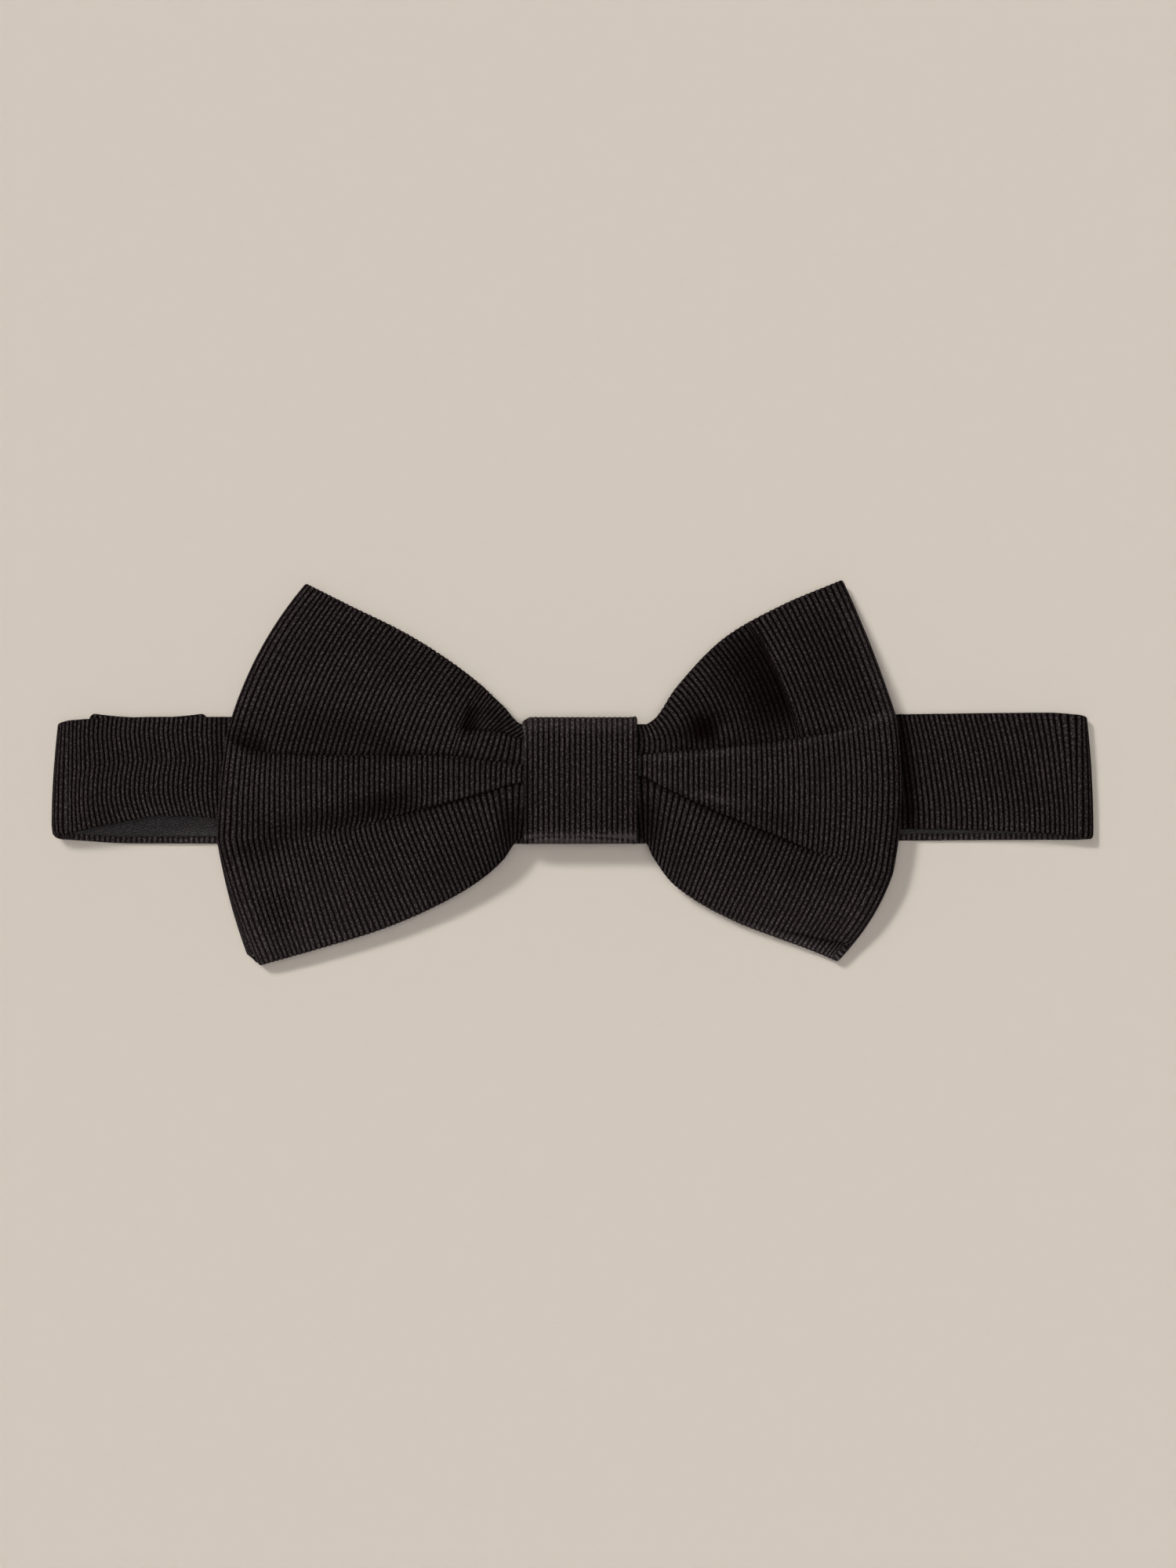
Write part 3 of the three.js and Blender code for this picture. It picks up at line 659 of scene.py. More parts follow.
LEFT_WING = {
    "side": -1,
    "folds": table(FOLD_LINES, [
        [0, -56.4, -33.4, -63.7, -11.1, -62.0, 7.0, -48.2, 33.9],
        [0.1, -52.1, -32.2, -58.4, -10.8, -57.6, 4.9, -44.6, 32.1],
        [0.2, -47.5, -30.9, -52.9, -10.5, -52.9, 3.9, -40.8, 30.2],
        [0.45, -33.3, -26.4, -40.2, -8.9, -40.2, 3.7, -30.0, 24.8],
        [0.73, -19.4, -19.5, -25.0, -5.1, -25.0, 3.7, -18.6, 17.0],
        [0.9, -13.8, -14.9, -16.7, -2.8, -16.7, 2.9, -13.6, 12.3],
        [1, -10.8, -11.2, -10.0, -1.1, -10.0, 2.1, -10.0, 9.0],
        [1.15, -0.4, -9.0, -0.4, -1.0, -0.4, 1.7, -0.4, 8.6],
    ]),
    "crowns": table(CROWNS, [
        [0, 4.7, 7.8, 10.0, 7.9, 4.7],
        [0.2, 5.0, 9.0, 11.4, 9.1, 5.0],
        [0.45, 5.5, 10.0, 12.3, 10.3, 5.6],
        [0.73, 6.8, 10.4, 12.0, 10.8, 6.9],
        [0.9, 8.3, 10.4, 11.2, 10.6, 8.4],
        [1, 9.2, 9.8, 10.0, 9.8, 9.2],
        [1.15, 9.1, 9.4, 9.6, 9.4, 9.1],
    ]),
    "pleats": table(PLEATS, [
        [0, 0.2, 0.0, 0.6, 0.5, 0.0, 0.0],
        [0.06, 0.3, 0.0, 1.0, 0.9, 0.0, 0.0],
        [0.2, 0.5, 0.0, 1.1, 0.9, 0.0, 0.0],
        [0.45, 1.1, 0.05, 1.4, 0.9, 0.0, 0.0],
        [0.6, 1.4, 0.3, 1.5, 1.0, 0.0, 0.0],
        [0.71, 1.4, 0.8, 1.4, 1.0, 0.0, 0.0],
        [0.8, 1.2, 1.0, 1.0, 0.9, 0.9, 0.9],
        [0.9, 1.0, 1.0, 0.7, 0.8, 1.2, 1.0],
        [1, 0.8, 1.0, 0.6, 0.8, 0.9, 1.0],
        [1.15, 0.6, 1.0, 0.5, 0.9, 0.4, 1.0],
    ]),
    "bends": table(BENDS, [
        [0, 0.0, 0.36, 0.0],
        [0.2, 0.4, 0.36, 0.0],
        [0.45, 0.8, 0.36, 0.0],
        [0.73, 0.7, 0.37, 0.0],
        [0.8, 0.5, 0.4, -0.015],
        [0.86, 0.3, 0.46, -0.035],
        [0.9, 0.1, 0.52, -0.042],
        [1, 0.0, 0.66, -0.05],
        [1.15, 0.0, 0.7, 0.0],
    ]),
    "rear_shift": {"bottom": (-2.1, 1.7), "top": (0.5, -0.7)},
    "bow": (0.5, 0.3, 1.7),
    "spread": {"lower": 2.3, "upper": 3.6},
    # Painted shade beside each crease, and painted light on each folded edge, below 0 for painted shade.
    "crease_shades": {"lower": 0.85, "upper": 0.75, "tuck": 0.7},
    "ridge_painted_light": {"lower": 0.15, "upper": -0.12, "tuck": 0.25},
    "strip_ribs": 3,
    "hollows": [
        dict(zip(HOLLOW, row)) for row in [
            (-19.4, 10.1, 2.9, 1.0, 1.6, 78, -1.2, 0.72),
            (-14.0, 9.6, 4.4, 1.5, 1.4, -33, 0.0, 0.3),
            (-34.0, -5.2, 5.0, 1.9, 2.3, 13, -1.0, 0.58),
            (-44.0, -7.6, 8.0, 2.3, 2.6, 10, -0.7, 0.32),
            (-56.8, -13.0, 4.4, 1.9, 1.9, 10, -0.5, 0.45),
            (-33.8, 5.5, 6.0, 1.0, 1.5, -25, -0.3, 0.24),
            (-44.5, 7.8, 13.0, 4.0, 3.4, -2, -0.6, 0.4),
            (-39.5, 0.4, 10.0, 2.6, 3.4, -8, 0.0, 0.17),
            (-54.0, -9.8, 7.5, 2.4, 2.4, -30, 0.0, 0.26),
            (-53.8, -24.0, 3.6, 4.6, 4.6, 0, 0.0, 0.17),
            (-15.0, -15.6, 5.0, 1.5, 1.9, 44, 0.0, 0.32),
            (-58.5, 6.0, 3.8, 1.9, 1.6, -30, -0.6, 0.52),
            (-11.4, -8.6, 3.2, 4.6, 4.6, 0, -0.4, 0.64),
        ]
    ],
}
RIGHT_WING = {
    "side": 1,
    "folds": table(FOLD_LINES, [
        [0, 47.7, -29.6, 54.7, -16.9, 55.2, 10.4, 45.9, 34.6],
        [0.2, 39.2, -28.0, 45.3, -14.7, 45.3, 8.0, 35.9, 30.4],
        [0.45, 27.3, -24.9, 33.8, -10.2, 33.8, 6.1, 25.5, 24.5],
        [0.73, 16.8, -19.4, 21.4, -5.1, 21.4, 4.8, 16.8, 15.5],
        [0.9, 12.9, -14.4, 14.5, -1.9, 14.5, 4.2, 12.7, 9.8],
        [1, 10.9, -11.0, 10.0, 0.1, 10.0, 3.7, 10.0, 8.7],
        [1.15, 0.4, -9.0, 0.4, 0.7, 0.4, 3.3, 0.4, 8.6],
    ]),
    "crowns": table(CROWNS, [
        [0, 4.7, 7.8, 10.0, 7.9, 4.7],
        [0.2, 5.0, 9.0, 11.6, 9.2, 5.0],
        [0.45, 5.5, 9.9, 12.5, 10.2, 6.0],
        [0.73, 6.8, 10.3, 12.2, 11.0, 7.6],
        [0.9, 8.3, 10.4, 11.3, 10.8, 8.8],
        [1, 9.2, 9.8, 10.0, 9.8, 9.3],
        [1.15, 9.1, 9.4, 9.6, 9.4, 9.1],
    ]),
    "pleats": table(PLEATS, [
        [0, 0.1, 0.0, 0.2, 0.1, 0.0, 0.0],
        [0.1, 0.2, 0.0, 0.5, 0.4, 0.0, 0.0],
        [0.2, 0.5, 0.2, 1.0, 0.9, 0.0, 0.0],
        [0.3, 0.9, 0.8, 1.3, 1.0, 0.0, 0.0],
        [0.45, 1.3, 1.0, 1.6, 1.0, 0.0, 0.0],
        [0.6, 1.4, 1.0, 1.8, 1.0, 0.0, 0.0],
        [0.73, 1.1, 1.0, 1.8, 1.0, 0.0, 0.0],
        [0.9, 0.9, 1.0, 1.3, 1.0, 0.0, 0.0],
        [1, 0.8, 1.0, 1.0, 1.0, 0.0, 0.0],
        [1.15, 0.6, 1.0, 0.6, 1.0, 0.0, 0.0],
    ]),
    "bends": table(BENDS, [
        [0, 0.0, 0.36, 0.0],
        [0.2, 0.3, 0.36, 0.0],
        [0.45, 1.3, 0.36, 0.0],
        [0.73, 1.2, 0.37, 0.0],
        [0.9, 0.7, 0.45, 0.0],
        [1, 0.3, 0.5, 0.0],
        [1.15, 0.0, 0.5, 0.0],
    ]),
    "rear_shift": {"bottom": (-2.6, -3.0), "top": (-0.4, -0.7)},
    "bow": (0.65, 1.2, 0.4),
    "spread": {"lower": 1.6, "upper": 2.2},
    # Painted shade beside each crease, and painted light on each folded edge, below 0 for painted shade.
    "crease_shades": {"lower": 0.97, "upper": 0.35, "tuck": 0.0},
    "ridge_painted_light": {"lower": 0.1, "upper": 0.3, "tuck": 0.0},
    "strip_ribs": 4,
    "hollows": [
        dict(zip(HOLLOW, row)) for row in [
            (21.9, 8.3, 3.0, 2.7, 2.8, 90, -1.0, 0.93),
            (34.2, 17.4, 9.6, 9.2, 0.8, 114, -1.3, 0.62),
            (35.8, 13.6, 5.6, 7.0, 0.7, 112, -0.9, 0.64),
            (50.3, 9.4, 5.5, 0.8, 0.8, 18, 0.1, -0.4),
            (32.6, 21.8, 5.0, 5.8, 0.8, 110, -0.3, 0.5),
            (19.6, 9.2, 5.0, 3.6, 3.2, 70, -0.2, 0.34),
            (17.2, 7.7, 3.0, 1.2, 1.4, 15, 0.0, 0.28),
            (25.2, 10.4, 1.8, 1.8, 1.8, 90, 0.0, 0.34),
            (25.2, 17.6, 6.5, 3.6, 3.6, 62, 0.0, 0.24),
            (51.0, 21.2, 12.0, 2.0, 2.0, 111, 0.0, -0.35),
            (44.0, 20.5, 13.0, 7.5, 7.5, 108, -0.5, 0.26),
            (21.5, -2.9, 6.4, 1.6, 1.6, -18, 0.5, 0.0),
            (25.6, -4.3, 5.6, 0.6, 0.7, -14, 0.2, -0.55),
            (32.0, -7.2, 5.2, 1.0, 1.0, -20, -0.2, 0.25),
            (37.0, -11.0, 15.0, 4.6, 7.0, -20, -0.3, 0.14),
            (11.0, -8.4, 3.0, 4.6, 4.6, 0, -0.4, 0.66),
        ]
    ],
}


def panel_ends(wing, panel, place, rear):
    """The two ends of a rib within one panel, on its lower and upper fold line or hem."""
    low, high = [("bottom", "lower"), ("lower", "upper"), ("upper", "top")][panel]
    fade = np.maximum(0, 1 - place / SHIFT_REACH) ** 2
    ends = []
    for name in (low, high):
        shift = wing["rear_shift"].get(name, (0, 0))
        ends.append((wing["folds"][name + "_x"](place) + shift[0] * rear * fade,
                     wing["folds"][name + "_y"](place) + shift[1] * rear * fade))
    (ax, ay), (bx, by) = ends
    return ax, ay, bx - ax, by - ay


def panel_length(wing, panel, place, rear):
    _, _, dx, dy = panel_ends(wing, panel, place, rear)
    return np.hypot(dx, dy)


def hollow_share(hollow, x, y):
    """How deep in a hollow each place is, 0 to 1. Its left and right sides can be of different widths."""
    a = math.radians(hollow["angle"])
    along = (x - hollow["x"]) * math.cos(a) + (y - hollow["y"]) * math.sin(a)
    over = (y - hollow["y"]) * math.cos(a) - (x - hollow["x"]) * math.sin(a)
    reach = np.where(over > 0, hollow["left"], hollow["right"])
    return np.exp(-np.abs(along / hollow["along"]) ** 3 - np.abs(over / reach) ** 3)


def leaf_point(wing, panel, place, share, rear, lift=0.0, drop=0.0):
    """Points of a leaf at places along the wing and shares across a panel, lifted off the cloth's middle."""
    place, share, drop = np.broadcast_arrays(np.asarray(place, float), share, drop)
    side = wing["side"]
    ax, ay, dx, dy = panel_ends(wing, panel, place, rear)
    length = np.hypot(dx, dy)
    fade = np.maximum(0, 1 - place / SHIFT_REACH) ** 2
    bend = wing["bends"]["upper_bend"](place) if panel == 2 else 0
    bowed = (wing["bow"][panel] * fade + bend * (1 - rear)) * 4 * share * (1 - share)
    out_x, out_y = side * dy / length, -side * dx / length
    x = ax + dx * share + bowed * out_x
    y = ay + dy * share + bowed * out_y
    levels = np.stack([wing["crowns"][name](place) for name in CROWNS])
    front = on_curve([0, 1 / 6, 1 / 2, 5 / 6, 1], levels, (panel + np.clip(share, 0, 1)) / 3)
    past = np.maximum(0, np.abs(y) - STRAP_HALF_WIDTH) / (HEM_REACH - STRAP_HALF_WIDTH)
    back = REAR_LEAF_LEVEL - REAR_DROOP * past ** DROOP_CURVE
    turned = 1 - np.minimum(1, place * LEAF_LENGTH / FOLD_ROUNDING)
    opened = np.sqrt(1 - turned ** 2)
    if rear:
        z = (front + back) / 2 - (front - back) / 2 * opened - lift * opened
    else:
        for h in wing["hollows"]:
            drop = drop - h["height"] * hollow_share(h, x, y)
        z = (front + back) / 2 + (front - back) / 2 * opened + (lift - drop) * opened
    return points(x + out_x * turned * lift, y + out_y * turned * lift, z)


def places_along(wing, panel, distances, rear):
    """The place along a panel of each distance across the ribs, counted from the outer fold."""
    # The tries lie closer at the fold, where the leaf turns most.
    places = LAST_PLACE * np.linspace(0, 1, 700) ** 1.6
    line = leaf_point(wing, panel, places, 0.5, rear)
    _, _, dx, dy = panel_ends(wing, panel, places, rear)
    rib = unit(points(dx, dy, 0))
    steps = np.diff(line, axis=0)
    lean = (steps * (rib[1:] + rib[:-1]) / 2).sum(axis=1)
    widths = np.sqrt(np.maximum((steps ** 2).sum(axis=1) - lean ** 2, 0))
    return np.interp(distances, np.concatenate([[0], np.cumsum(widths)]), places)


# A folded edge, from the face of the upper layer round to the layer under it. Of the upper layer: how far
# from the edge a line of points lies where the fold is crisp, its share of the depth there, and how far where
# it is soft. Of the under layer: how far out, crisp and soft.
UPPER_LAYER = [
    (1.9, 0.0, 2.6), (1.15, 0.01, 2.1), (0.65, 0.045, 1.65), (0.34, 0.12, 1.2),
    (0.13, 0.25, 0.8), (0.03, 0.4, 0.5), (0.05, 0.62, 0.25), (0.3, 0.86, 0.08),
]
UNDER_LAYER = [(-0.35, 0.08), (0.05, 0.3), (0.4, 0.65), (0.9, 1.1), (1.6, 1.7), (2.5, 2.5)]
EDGE_CRISP, _, EDGE_SOFT = UPPER_LAYER[0]
UNDER_END = UNDER_LAYER[-1][1]
SOFT_REACH = 1.9
ROOM_SHARE = 0.42
TUCK_SPREAD = 1.6
TUCK_ROOM = 2.75
SHORTEST_TOP = 0.5
LOWER_STEPS = (0.95, 0.87, 0.78, 0.68, 0.58, 0.48, 0.38, 0.28, 0.19, 0.1)
MIDDLE_STEPS = (0.07, 0.17, 0.27, 0.37, 0.47, 0.57, 0.67, 0.77, 0.87, 0.95)
SMALL_STEPS = (0.25, 0.5, 0.75)
UPPER_STEPS = (0.1, 0.2, 0.31, 0.43, 0.56, 0.7, 0.83, 0.94)
CREASE_REACH = 0.5
RIDGE_START, RIDGE_END = 0.2, 1.5
RIDGE_SUNK = 0.3


def under_drop(reach, crisp, spread):
    return mix(np.exp(-(reach / SOFT_REACH) ** 2), np.exp(-np.maximum(reach, 0) / spread), crisp)


def leaf_rows(wing, distances, rear):
    """The outer face of a leaf, one row of points at a time from its lower hem to its upper one, and the
    painted light and shade of each point beside a crease."""
    p0, p1, p2 = [places_along(wing, n, distances, rear) for n in range(3)]
    here = 1 - rear
    len0, len1, len2 = [panel_length(wing, n, p, rear) for n, p in enumerate((p0, p1, p2))]
    pleats, bends, spread = wing["pleats"], wing["bends"], wing["spread"]
    shades, ridge_painted_light = wing["crease_shades"], wing["ridge_painted_light"]
    rows, painted_lighting = [], {}

    def under_crease(crease, reach, crisp, depth):
        """The next row gets painted shade from the folded edge over it."""
        shade = -shades[crease] * math.exp(-max(reach, 0) / CREASE_REACH)
        painted_lighting[len(rows)] = shade * crisp * np.minimum(depth, 1)

    def on_ridge(crease, step, crisp, depth):
        """The next row lies on the folded edge: the wing's painted ridge light near its face, painted shade
        deeper in.
        """
        from_edge, sunk, _ = UPPER_LAYER[step]
        raised = ridge_painted_light[crease] * (RIDGE_START < from_edge < RIDGE_END)
        shade = raised if sunk < RIDGE_SUNK else -shades[crease] * sunk
        painted_lighting[len(rows)] = shade * crisp * np.minimum(depth, 1)

    def lower_row(reach, place=p0, hem_drop=0.0):
        sunk = under_drop(reach, pleats["lower_crisp"](place), spread["lower"])
        drop = here * pleats["lower_depth"](place) * sunk
        rows.append(leaf_point(wing, 0, place, 1 - reach / len0, rear, BOW_CLOTH / 2 - hem_drop, drop))

    def middle_row(share, drop, place=p1):
        rows.append(leaf_point(wing, 1, place, share, rear, BOW_CLOTH / 2, drop * here))

    lead = bends["tuck_lead"](p2) * here
    tuck_place = np.minimum(p2 + lead, LAST_PLACE)
    tuck = bends["tuck_share"](tuck_place)
    small_tuck = bends["tuck_share"](p2)
    small_len, top_len = len2 * small_tuck, len2 * (1 - tuck)

    def upper_drop(share, place):
        sunk = under_drop(share * len2, pleats["upper_crisp"](place), spread["upper"])
        return here * pleats["upper_depth"](place) * sunk

    def small_row(reach, drop=0.0, place=p2):
        share = reach / len2
        drop = upper_drop(share, place) + drop * here
        rows.append(leaf_point(wing, 2, place, share, rear, BOW_CLOTH / 2, drop))

    def top_row(reach, hem_drop=0.0):
        part = reach / np.maximum(top_len, SHORTEST_TOP)
        place = p2 + (tuck_place - p2) * (1 - part)
        share = mix(tuck, 1, part)
        sunk = under_drop(reach, pleats["tuck_crisp"](tuck_place), TUCK_SPREAD)
        drop = upper_drop(share, place) + here * pleats["tuck_depth"](tuck_place) * sunk
        rows.append(leaf_point(wing, 2, place, share, rear, BOW_CLOTH / 2 - hem_drop, drop))

    def upper_layer(depth, crisp, length):
        """Rows of the upper layer of a folded edge: how far each lies from the edge, and its drop."""
        fit = np.minimum(1, length * ROOM_SHARE / EDGE_SOFT)
        return [(fit * mix(soft, reach, crisp), depth * mix(np.exp(-(soft / SOFT_REACH) ** 2), share, crisp))
                for reach, share, soft in UPPER_LAYER]

    def blended(top, under, crisp, step):
        """The place of a row beside a crease: the ribs of both sides meet where the crease is soft."""
        steps = len(UPPER_LAYER) + len(UNDER_LAYER)
        own = top if step < len(UPPER_LAYER) else under
        return mix(mix(top, under, (step + 0.5) / steps), own, crisp)

    # Lower hem and lower panel
    for angle in EDGE_TURNS:
        lower_row(len0 - HEM_ROUND * (1 - math.sin(angle)), hem_drop=HEM_ROUND * (1 - math.cos(angle)))
    for t in LOWER_STEPS:
        lower_row(mix(UNDER_END, len0 - HEM_ROUND, t))
    # Lower crease
    crisp, depth = pleats["lower_crisp"](p1), pleats["lower_depth"](p1)
    total = len(UPPER_LAYER)
    for n in reversed(range(len(UNDER_LAYER))):
        reach, soft = UNDER_LAYER[n]
        under_crease("lower", reach, crisp * here, depth)
        lower_row(mix(soft, reach, crisp * here), blended(p1, p0, crisp * here, total + n))
    for step, (at, drop) in reversed(list(enumerate(upper_layer(depth, crisp * here, len1)))):
        on_ridge("lower", step, crisp * here, depth)
        middle_row(at / len1, drop, blended(p1, p0, crisp * here, step))
    # Middle panel
    fit = np.minimum(1, len1 * ROOM_SHARE / EDGE_SOFT)
    low_end = fit * mix(EDGE_SOFT, EDGE_CRISP, crisp * here)
    crisp_up, depth_up = pleats["upper_crisp"](p1), pleats["upper_depth"](p1)
    high_end = len1 - fit * mix(EDGE_SOFT, EDGE_CRISP, crisp_up * here)
    for t in MIDDLE_STEPS:
        at = mix(low_end, high_end, t)
        drop = depth * (1 - crisp) * np.exp(-(at / SOFT_REACH) ** 2)
        drop = drop + depth_up * (1 - crisp_up) * np.exp(-((len1 - at) / SOFT_REACH) ** 2)
        middle_row(at / len1, drop)
    # Upper crease
    for step, (at, drop) in enumerate(upper_layer(depth_up, crisp_up * here, len1)):
        on_ridge("upper", step, crisp_up * here, depth_up)
        middle_row(1 - at / len1, drop, blended(p1, p2, crisp_up * here, step))
    under_fit = np.minimum(1, small_len / 2 / UNDER_END)
    for n, (reach, soft) in enumerate(UNDER_LAYER):
        under_crease("upper", reach, crisp_up * here, depth_up)
        place = blended(p1, p2, crisp_up * here, total + n)
        small_row(under_fit * mix(soft, reach, crisp_up * here), place=place)
    # The small panel under the tuck
    crisp_t, depth_t = pleats["tuck_crisp"](p2) * here, pleats["tuck_depth"](p2)
    tuck_fit = np.minimum(1, small_len * ROOM_SHARE / EDGE_SOFT)
    for t in SMALL_STEPS:
        at = mix(under_fit * UNDER_END, small_len - tuck_fit * TUCK_ROOM, t)
        small_row(at, depth_t * (1 - crisp_t) * np.exp(-((small_len - at) / SOFT_REACH) ** 2))
    for at, drop in upper_layer(depth_t, crisp_t, small_len):
        small_row(small_len - at, drop)
    # The tuck, the upper panel and the upper hem
    top_fit = np.minimum(1, top_len / 2 / UNDER_END)
    for reach, soft in UNDER_LAYER:
        under_crease("tuck", reach, crisp_t, depth_t)
        top_row(top_fit * mix(soft, reach, crisp_t))
    for t in UPPER_STEPS:
        top_row(mix(top_fit * UNDER_END, top_len - HEM_ROUND, t))
    for angle in EDGE_TURNS[::-1]:
        top_row(top_len - HEM_ROUND * (1 - math.sin(angle)), HEM_ROUND * (1 - math.cos(angle)))
    crease_painted_light_shade = np.stack([painted_lighting.get(n, 0) * np.ones(len(p1)) for n in range(len(rows))], axis=1)
    return np.stack(rows, axis=1), crease_painted_light_shade


LINING_SHARES = (0.0, 0.13, 0.27, 0.42, 0.57, 0.72, 0.86)
HEM_SHARE = 0.013
LINING_REACH = 3.4
LINING_SLACK = 0.15
LONGEST_LEAF = 90


def leaf_lining(wing, distances, rear):
    """The inner face of a leaf, which follows the pleats loosely."""
    rows = []
    ends = [(HEM_SHARE, *LINING_SHARES[1:]), LINING_SHARES, (*LINING_SHARES, 1 - HEM_SHARE)]
    for panel, shares in enumerate(ends):
        place = places_along(wing, panel, distances, rear)
        length = panel_length(wing, panel, place, rear)
        for share in shares:
            sink = np.full(len(place), LINING_SLACK)
            for below, depth in enumerate(("lower_depth", "upper_depth")):
                if panel in (below, below + 1):
                    from_crease = length * (1 - share if panel == below else share)
                    near = 1 - smooth_step(from_crease / LINING_REACH)
                    sink = sink + wing["pleats"][depth](place) * near
            rows.append(leaf_point(wing, panel, place, share, rear, -BOW_CLOTH / 2, sink * (1 - rear)))
    return np.stack(rows, axis=1)


def ribs_to_place(wing, target, rear):
    """How many whole ribs of the middle panel lie between the outer fold and a place."""
    tries = np.linspace(0, LONGEST_LEAF, 1800)
    return int(np.interp(target, places_along(wing, 1, tries, rear), tries) / RIB)


FRONT_STEPS, REAR_STEPS, STRIP_STEPS = 8, 5, 6
STRIP_DIP, SLIT_SHARE, SLIT_WIDTH = 0.4, 0.2, 0.12
STRIP_SINK = 0.3
HEM_RISE = 12
HEM_PAINTED_LIGHT = 0.32
HEM_STRIP_PAINTED_LIGHT = 0.74


def with_fold_strip(front_face, rear_face, ribs):
    """Joins the two leaves of a face. Low on the outer fold the rear leaf lies further out, and a strip of
    the cloth shows there, with a shallow slit beside the front leaf."""
    start, end = front_face[-1], rear_face[0]
    width = np.linalg.norm(end - start, axis=1)
    shares = np.arange(1, ribs * STRIP_STEPS) / (ribs * STRIP_STEPS)
    strip = start[None] + (end - start)[None] * shares[:, None, None]
    slit = np.exp(-((shares - SLIT_SHARE) / SLIT_WIDTH) ** 2)
    strip[:, :, 2] -= STRIP_DIP * slit[:, None] * np.clip(width - 0.5, 0, 1)[None]
    return np.concatenate([front_face, strip, rear_face])


def wing_piece(name, wing):
    front = np.arange(0, ribs_to_place(wing, WAIST_PLACE, 0) * FRONT_STEPS + 1) * RIB / FRONT_STEPS
    rear = np.arange(1, ribs_to_place(wing, WAIST_PLACE, 1) * REAR_STEPS + 1) * RIB / REAR_STEPS
    ribs = wing["strip_ribs"]
    front_face, painted_at_creases = leaf_rows(wing, front[::-1], 0)
    outer = with_fold_strip(front_face, leaf_rows(wing, rear, 1)[0], ribs)
    inner = with_fold_strip(leaf_lining(wing, front[::-1], 0), leaf_lining(wing, rear, 1), ribs)
    strip = np.arange(1, ribs * STRIP_STEPS) * RIB / STRIP_STEPS
    distances = np.concatenate([front[::-1], -strip, -ribs * RIB - rear])
    relief = rib_relief(distances)
    relief[len(front):len(front) + len(strip)] = -STRIP_SINK * RIB_RISE
    painted_light_shade = np.zeros(outer.shape[:2])
    painted_light_shade[:len(front)] = painted_at_creases
    if wing["side"] < 0:
        outer, inner, painted_light_shade = outer[::-1], inner[::-1], painted_light_shade[::-1]
        distances, relief = distances[::-1], relief[::-1]
    away = outward(outer, False)
    x, y, _ = np.moveaxis(outer, 2, 0)
    # Painted light towards the lower hem and painted shade in the hollows, on the faces that look up.
    hem_share = np.clip((-y - HEM_RISE) / (HEM_REACH - HEM_RISE), 0, 1)
    painted_light_factor = (1 + painted_light_shade) * (1 + HEM_PAINTED_LIGHT * hem_share)
    for hollow in wing["hollows"]:
        painted_light_factor = painted_light_factor * (1 - hollow["shade"] * hollow_share(hollow, x, y))
    painted_light_shade = np.where(away[:, :, 2] > 0, painted_light_factor - 1, 0)
    outer = outer + away * relief[:, None, None]
    inner = inner - outward(inner, False) * relief[:, None, None]
    piece = strip_piece(name, outer, inner, distances)
    # Of the rear leaf only a strip along its lower hem shows beyond the front one. The inner face gets painted
    # light along its lower hem.
    inner_painted_light = np.zeros(inner.shape[:2])
    inner_painted_light[:, 0] = HEM_STRIP_PAINTED_LIGHT
    set_painted_light_shade(piece, painted_light_shade, inner_painted_light)
    piece.data.materials.append(black_rib)
    return piece


WING_PIECES = [
    ("left_wing_cloth", "left_wing", LEFT_WING, (0.067, 0.118)),
    ("right_wing_cloth", "right_wing", RIGHT_WING, (0.064, 0.102)),
]
for name, node, wing, flat_size in WING_PIECES:
    cloth = wing_piece(name, wing)
    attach(cloth, "root")
    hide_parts(node)


# The knot wrap: a strip of the same cloth with its ribs running up and down, wound once round the waist of
# the bow and the front run of the strap. Its sides are turned in, and its top and bottom roll over softly.
KNOT_WIDTH = 20.0
KNOT_HEIGHT = 20.8
KNOT_FRONT = 11.5
KNOT_BACK = 2.6
KNOT_CLOTH = 1.0
KNOT_CORNER = 2.2
KNOT_DOME = 1.25
KNOT_LIP = 1.5
LIP_LEVEL = -10.5
LIP_CREASE, LIP_CREASE_WIDTH = 0.2, 0.22
LIP_PEAK, LIP_BOW = -4.5, 0.65
LIP_LEFT, LIP_RIGHT = 5.0, 14.0
LIP_START, LIP_FADE = 9.8, 0.6
LIP_FLATTENED = 0.75
LEFT_CUT, LEFT_CUT_REACH = 1.2, 1.4
TOP_START, TOP_REACH = 6.0, 3.5
SIDE_RIM, RIM_PLACE, RIM_WIDTH = 0.16, 0.45, 0.35
WEAVE_START = 20


def knot_ring(steps_face=44, steps_corner=12, steps_back=14):
    """The middle of the wrap's cloth once round: down the front, up the back."""
    reach = (KNOT_HEIGHT - KNOT_CLOTH) / 2
    radius = KNOT_CORNER - KNOT_CLOTH / 2
    low, high = KNOT_BACK + KNOT_CLOTH / 2, KNOT_FRONT - KNOT_CLOTH / 2
    straight = reach - radius
    ring = []

    def face(start, end, level, dome, steps):
        for k in range(1, steps):
            y = mix(start, end, k / steps)
            ring.append((y, level + dome * max(0, 1 - (y / straight) ** 2)))

    def corner(y, z, start):
        for k in range(steps_corner + 1):
            angle = start + k / steps_corner * math.pi / 2
            ring.append((y + radius * math.cos(angle), z + radius * math.sin(angle)))

    face(straight, -straight - KNOT_LIP, high, KNOT_DOME, steps_face)
    corner(-straight - KNOT_LIP, high - radius, math.pi / 2)
    corner(-straight - KNOT_LIP, low + radius, math.pi)
    face(-straight - KNOT_LIP, straight, low, 0, steps_back)
    corner(straight, low + radius, -math.pi / 2)
    corner(straight, high - radius, 0)
    return np.array(ring)


